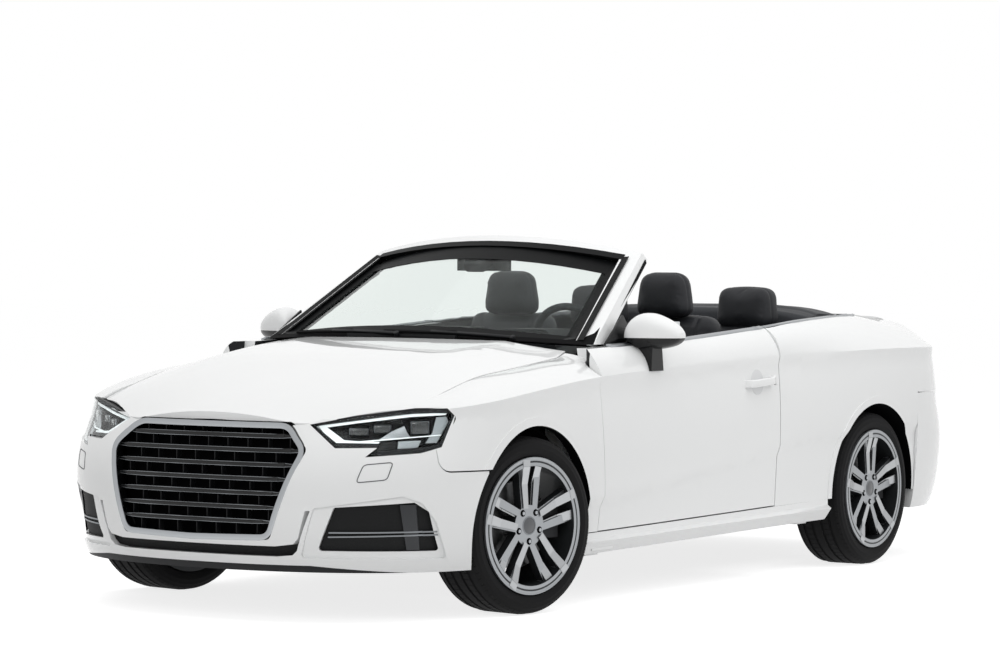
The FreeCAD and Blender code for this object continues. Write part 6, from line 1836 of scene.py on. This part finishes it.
@dataclass
class Controls:
    """The steering wheel: a leather rim, three spokes and a plain boss."""

    centre: Vector = field(default_factory=lambda: Vector((0.3720, -0.2764, 0.9153)))
    radius: float = 0.184
    grip: float = 0.0148
    grip_steps: int = 16
    tilt_deg: float = 24.0
    spoke_reach: tuple = (0.045, 0.176)
    spoke_taper: float = 0.7
    spoke_lift: float = 0.004
    spoke_thick: float = 0.014
    boss: tuple = ((0.0, 0.022), (0.030, 0.021), (0.055, 0.014), (0.061, 0.004), (0.060, -0.016),
                   (0.0, -0.018))
    column_radius: float = 0.0145
    column_ends: tuple = (0.016, 0.25)

    def build(self) -> None:
        """Builds the wheel."""
        turn = Matrix.Rotation(math.radians(self.tilt_deg), 3, "X")
        axis, up, across = turn @ BACKWARD, turn @ UP, Vector((1, 0, 0))
        rim, spokes, boss = Shell(), Shell(), Shell()
        turns = [math.tau * i / self.grip_steps for i in range(self.grip_steps)]
        rim.spun([(self.radius + self.grip * math.cos(a), self.grip * math.sin(a)) for a in turns],
                 self.centre, axis, 96, closed=True)
        piece = rim.finish("steering_rim", SEAT_LEATHER, Body.STEERING, "grip", 80)
        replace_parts(piece, "steering_wheel")
        near, far = self.spoke_reach
        for way, width in ((across, 0.020), (-across, 0.020), (-up, 0.026)):
            side, tip = way.cross(axis), width * self.spoke_taper
            corners = ((near, width), (far, tip), (far, -tip), (near, -width))
            spokes.plate([self.centre + way * r + side * w + axis * self.spoke_lift for r, w in corners],
                         -axis * self.spoke_thick)
        spokes.finish("steering_spokes", SATIN_ALUMINIUM, Body.STEERING, "satin", round_by=0.003)
        boss.spun(self.boss, self.centre, axis, 48)
        top, foot = self.column_ends
        boss.rod(self.centre - axis * top, self.centre - axis * foot, self.column_radius)
        boss.finish("steering_boss", DASH_SKIN, Body.STEERING, "dash", 50)


@dataclass
class RearDetails:
    """What lies on the tail: plate recess, reflectors, lamp bars, third brake lamp and lid pull."""

    recess: tuple = ((-0.275, 0.575), (0.275, 0.575), (0.255, 0.440), (-0.255, 0.440))
    panel_half: tuple = (0.245, 0.052)
    panel_height: float = 0.507
    panel_proud: float = 0.003
    panel_thick: float = 0.002
    reflector: tuple = ((0.560, 0.372), (0.735, 0.380))
    # Each strip of a tail lamp: its name, height, half height and finish
    bars: tuple = (("tail_lamp_bars", 0.865, 0.006, GLOWING_RED),
                   ("tail_lamp_lines", 0.797, 0.004, GLOWING_RED),
                   ("reversing_strips", 0.828, 0.008, FROSTED_GREY))
    bar_inner: float = 0.575
    bar_length: float = 0.19
    bar_thick: float = 0.0012
    search_half: float = 0.69
    bumper: Skin = field(default_factory=lambda: Skin("rear_bumper"))
    lid: Skin = field(default_factory=lambda: Skin("boot_lid"))
    lamps: Skin = field(default_factory=lambda: Skin("tail_lamps"))

    def on(self, skin: Skin, x: float, z: float, proud: float) -> Vector:
        """Gives a point on a skin seen from behind, moved back by an amount."""
        middle = Vector((math.copysign(min(abs(x), self.search_half), x), -AHEAD, z))
        return skin.cast((x, -AHEAD, z), -BACKWARD, middle)[0] + BACKWARD * proud

    def strip(self, skin: Skin, ends: Sequence, steps: int, proud: float, half: float, thick: float) -> Shell:
        """Lays a straight strip on a skin.

        Args:
            skin: what it lies on.
            ends: (x, z) of its two ends.
            steps: how many steps it takes.
            proud: how far out its middle line lies.
            half: its half height.
            thick: its half thickness.

        Returns:
            The strip's mesh.
        """
        shell = Shell()
        (x0, z0), (x1, z1) = ends
        shares = [i / steps for i in range(steps + 1)]
        shell.sweep([self.on(skin, x0 + (x1 - x0) * t, z0 + (z1 - z0) * t, proud) for t in shares],
                    half, thick, [BACKWARD])
        return shell

    def plate_recess(self) -> None:
        """Builds the plain panel and frame where a number plate would sit; the frame's dark line is painted
        shade along the recess's step.
        """
        edge, panel = Shell(), Shell()
        loop = rounded_loop(self.recess, 0.02, 5, 0.04)
        edge.sweep([self.on(self.bumper, p.x, p.y, 0.0015) for p in loop], 0.004, 0.002, [BACKWARD],
                   closed=True)
        # The edge's dark grey is painted shade along the recess's step
        edge.finish("plate_recess_edge", SHADOW_LINE, Body.CAR, "trim")
        bmesh.ops.create_grid(panel.mesh, x_segments=12, y_segments=3, size=1.0)
        half_width, half_height = self.panel_half
        for vert in panel.mesh.verts:
            x, z = vert.co.x * half_width, self.panel_height + vert.co.y * half_height
            vert.co = self.on(self.bumper, x, z, self.panel_proud)
        bmesh.ops.solidify(panel.mesh, geom=panel.mesh.faces[:], thickness=self.panel_thick)
        panel.finish("plain_plate_panel", MOULDED_PLASTIC, Body.CAR, "trim")

    def lamp_strips(self) -> None:
        """Builds the reflectors in the bumper, and the bars and reversing strip of each tail lamp."""
        shell = self.strip(self.bumper, self.reflector, 4, 0.002, 0.010, 0.003)
        shell.finish("rear_reflectors", RED_ACRYLIC, Body.CAR, "red_lens", round_by=0.002, twin=True)
        for name, z, half, finish in self.bars:
            ends = ((self.bar_inner, z), (self.bar_inner + self.bar_length, z))
            shell = self.strip(self.lamps, ends, 8, self.bar_thick, half, self.bar_thick)
            shell.finish(name, finish, Body.CAR, "red_lens", twin=True)

    def lid_fittings(self) -> None:
        """Builds the lid's pull and the third brake lamp."""
        pull = self.strip(self.lid, ((-0.11, 0.800), (0.11, 0.800)), 6, 0.003, 0.011, 0.004)
        pull.finish("boot_lid_pull", MOULDED_PLASTIC, Body.BOOT, "trim", round_by=0.003)
        lamp = self.strip(self.lid, ((-0.16, 1.000), (0.16, 1.000)), 8, 0.001, 0.005, 0.002)
        lamp.finish("third_brake_lamp", RED_ACRYLIC, Body.BOOT, "red_lens")

    def build(self) -> None:
        """Builds them all."""
        self.plate_recess()
        self.lamp_strips()
        self.lid_fittings()


@dataclass
class Cabin:
    """What lies in the open cabin: air vents, a plain display, the gear lever and door trims."""

    vents: tuple = ((0.575, 0.905), (0.165, 0.905), (-0.165, 0.905), (-0.575, 0.905))
    vent_radius: float = 0.036
    vane_pitch: float = 0.015
    vane_half: float = 0.0015
    vane_proud: float = 0.004
    display_y: float = -0.50
    lever_y: float = -0.10
    knob: tuple = ((0.0, 0.118), (0.016, 0.114), (0.023, 0.100), (0.021, 0.080), (0.012, 0.060), (0.0, 0.050))
    cups: tuple = (0.10, 0.20)
    cup_ring: tuple = ((0.038, 0.003), (0.042, 0.002), (0.042, -0.003), (0.038, -0.003))
    rest_places: tuple = (-0.50, -0.40, -0.25, -0.10, 0.05, 0.20)
    rest_height: float = 0.66
    rest_out: float = 0.018
    pull_up: float = 0.075
    pull_in: float = 0.012
    dash: Skin = field(default_factory=lambda: Skin("dashboard"))
    console: Skin = field(default_factory=lambda: Skin("centre_console"))

    def below(self, skin: Skin, y: float) -> Vector:
        """Gives the point of a skin's top on the car's middle line."""
        return skin.cast((0.0, y, -AHEAD), -UP)[0]

    def air_vents(self) -> None:
        """Builds the four round vents with their vanes."""
        rings, vanes = Shell(), Shell()
        r = self.vent_radius
        for x, z in self.vents:
            place, _ = self.dash.cast((x, -AHEAD, z), -BACKWARD)
            rings.spun([(r, 0.006), (r + 0.005, 0.004), (r + 0.006, -0.006), (r, -0.006)], place, BACKWARD,
                       40, closed=True)
            vanes.spun([(0.0, 0.0005), (r, 0.0005), (r, -0.003), (0.0, -0.003)], place, BACKWARD, 40)
            for rise in (-self.vane_pitch, 0.0, self.vane_pitch):
                half = math.sqrt(r ** 2 - rise ** 2)
                vanes.box(place + Vector((-half, 0, rise - self.vane_half)),
                          place + Vector((half, self.vane_proud, rise + self.vane_half)))
        rings.finish("air_vent_rings", SATIN_ALUMINIUM, Body.CAR, "satin")
        vanes.finish("air_vent_vanes", MOULDED_PLASTIC, Body.CAR, "dash")

    def display(self) -> None:
        """Builds the plain dark display in the middle of the dashboard."""
        top = self.below(self.dash, self.display_y)
        shell = Shell()
        shell.box(top + Vector((-0.088, -0.006, -0.004)), top + Vector((0.088, 0.004, 0.070)))
        shell.finish("plain_display", GLOSS_BLACK, Body.CAR, "dash", round_by=0.003, rounds=3)

    def lever(self) -> None:
        """Builds the gear lever with its leather gaiter, and two cup rings."""
        gaiter, knob, rings = Shell(), Shell(), Shell()
        foot = self.below(self.console, self.lever_y)
        gaiter.rod(foot - UP * 0.004, foot + UP * 0.055, 0.042, 0.012)
        gaiter.finish("gear_gaiter", SEAT_LEATHER, Body.CAR, "grip", 60)
        knob.spun(self.knob, foot, UP, 32)
        knob.finish("gear_knob", SEAT_LEATHER, Body.CAR, "grip", 60)
        for y in self.cups:
            rings.spun(self.cup_ring, self.below(self.console, y), UP, 40, closed=True)
        rings.finish("cup_rings", SATIN_ALUMINIUM, Body.CAR, "satin")

    def door_trims(self) -> None:
        """Builds each door's armrest and inner pull."""
        for side, name, body in DOORS:
            rest, pull, skin = Shell(), Shell(), Skin(f"door_{name}")
            out = Vector((side, 0, 0))
            route = [skin.cast((0.0, y, self.rest_height), out)[0] - out * self.rest_out
                     for y in self.rest_places]
            rest.sweep(route, 0.022, 0.020, [out])
            rest.finish(f"door_armrest_{name}", SEAT_LEATHER, body, "dash", 60, 0.010, 3)
            pull.sweep([p + UP * self.pull_up + out * self.pull_in for p in route[1:4]], 0.009, 0.008, [out])
            pull.finish(f"door_pull_{name}", SATIN_ALUMINIUM, body, "satin", 50, 0.003)

    def build(self) -> None:
        """Builds them all."""
        self.air_vents()
        self.display()
        self.lever()
        self.door_trims()


@dataclass(frozen=True)
class Softbox:
    """One square soft studio lamp: where it hangs, what it faces, its side in metres and its power."""

    name: str
    place: tuple
    aim: tuple
    size: float
    watts: float

    def build(self) -> None:
        """Adds the lamp."""
        data = bpy.data.lights.new(self.name, "AREA")
        data.size = self.size
        data.energy = self.watts
        lamp = bpy.data.objects.new(self.name, data)
        lamp.location = self.place
        lamp.visible_camera = lamp.visible_glossy = False
        lamp.rotation_euler = (Vector(self.aim) - Vector(self.place)).to_track_quat("-Z", "Y").to_euler()
        bpy.context.scene.collection.objects.link(lamp)


@dataclass
class Studio:
    """The camera at the photograph's place, the lamps, the floor and the white background."""

    azimuth_deg: float = 33.409
    elevation_deg: float = 1.17
    roll_deg: float = 0.331
    location: tuple[float, float, float] = (7.7918, -11.9497, 1.2703)
    lens_mm: float = 127.97
    sensor_mm: float = 36.0
    shift: tuple[float, float] = (-0.01663, -0.00452)
    reach: float = 200.0
    lamps: tuple = (Softbox("roof_softbox", (0.0, -0.6, 6.0), (0.0, 0.0, 0.5), 7.5, 190.0),
                    Softbox("front_softbox", (2.6, -7.5, 3.4), (0.0, -0.5, 0.7), 4.0, 145.0),
                    Softbox("side_softbox", (3.6, 0.5, 2.9), (0.5, 0.4, 0.7), 3.6, 60.0))
    floor_half: float = 60.0
    floor_colour: str = "#c9c9c9"
    floor_glow: float = 0.80
    world_light: float = 0.34

    def camera(self) -> None:
        """Adds the camera."""
        data = bpy.data.cameras.new("camera")
        data.sensor_width = self.sensor_mm
        data.lens = self.lens_mm
        data.shift_x, data.shift_y = self.shift
        data.clip_end = self.reach
        az, el, roll = (math.radians(a) for a in (self.azimuth_deg, self.elevation_deg, self.roll_deg))
        back = Vector((math.sin(az) * math.cos(el), -math.cos(az) * math.cos(el), math.sin(el)))
        right = UP.cross(back).normalized()
        up = back.cross(right)
        across = right * math.cos(roll) + up * math.sin(roll)
        upright = up * math.cos(roll) - right * math.sin(roll)
        camera = bpy.data.objects.new("camera", data)
        turn = Matrix((across, upright, back)).transposed().to_4x4()
        camera.matrix_world = Matrix.Translation(self.location) @ turn
        bpy.context.scene.collection.objects.link(camera)
        bpy.context.scene.camera = camera

    def seen(self, tree: bpy.types.NodeTree) -> bpy.types.NodeSocket:
        """Gives the socket that is 1 for rays of the camera, of gloss and of glass.

        Args:
            tree: the node tree that asks.

        Returns:
            The socket.
        """
        path = add_node(tree, "ShaderNodeLightPath")
        answer = path.outputs["Is Camera Ray"]
        for ray in ("Is Glossy Ray", "Is Transmission Ray"):
            answer = add_node(tree, "ShaderNodeMath", {"operation": "MAXIMUM"}, None,
                              {0: answer, 1: path.outputs[ray]}).outputs[0]
        return answer

    def floor(self) -> None:
        """Adds the pale floor, which shows white to the camera and keeps the car's shadow."""
        mesh = bpy.data.meshes.new("floor")
        with edited(mesh) as shell:
            bmesh.ops.create_grid(shell, x_segments=1, y_segments=1, size=self.floor_half)
        floor = place_in_scene("floor", mesh)
        material = bpy.data.materials.new("pale_studio_floor")
        material.use_nodes = True
        tree = material.node_tree
        tree.nodes.remove(tree.nodes["Principled BSDF"])
        matt = add_node(tree, "ShaderNodeBsdfDiffuse", None, {"Color": linear(self.floor_colour)})
        lit = add_node(tree, "ShaderNodeEmission", None, {"Color": (1, 1, 1, 1), "Strength": self.floor_glow})
        both = add_node(tree, "ShaderNodeAddShader", None, None, {0: matt.outputs[0], 1: lit.outputs[0]})
        mixed = add_node(tree, "ShaderNodeMixShader", None, None,
                         {0: self.seen(tree), 1: matt.outputs[0], 2: both.outputs[0]})
        tree.links.new(mixed.outputs[0], tree.nodes["Material Output"].inputs["Surface"])
        floor.data.materials.append(material)

    def world(self) -> None:
        """Sets a white background for the camera, gloss and glass, and a plain even light."""
        world = bpy.data.worlds.new("studio")
        world.use_nodes = True
        bpy.context.scene.world = world
        tree = world.node_tree
        tree.nodes.remove(tree.nodes["Background"])
        plain, white = (add_node(tree, "ShaderNodeBackground", None,
                                 {"Color": (1, 1, 1, 1), "Strength": strength})
                        for strength in (self.world_light, 1.0))
        mixed = add_node(tree, "ShaderNodeMixShader", None, None,
                         {0: self.seen(tree), 1: plain.outputs[0], 2: white.outputs[0]})
        tree.links.new(mixed.outputs[0], tree.nodes["World Output"].inputs["Surface"])

    def build(self) -> None:
        """Sets up the whole studio."""
        self.camera()
        for lamp in self.lamps:
            lamp.build()
        self.floor()
        self.world()
        bpy.context.scene.view_settings.view_transform = "Standard"


def main() -> None:
    """Builds every class in order."""
    logging.basicConfig(level=logging.INFO, format="%(message)s")
    Studio().build()
    panels = Panels()
    panels.build(left_out=("grille", "headlamps", "tyre_fl", "tyre_fr", "tyre_rl", "tyre_rr", "rim_fl",
                           "rim_fr", "rim_rl", "rim_rr", "front_seat_left", "front_seat_right",
                           "rear_bench", "soft_top", "mirror_left", "mirror_right", "steering_wheel"))
    Wheels().build(panels)
    Seats().build()
    SoftTop().build()
    Screen().build()
    SideTrim().build(panels)
    Controls().build()
    Grille().build()
    Headlamps().build()
    NoseDetails().build()
    RearDetails().build()
    Cabin().build()


if __name__ == "__main__":
    main()
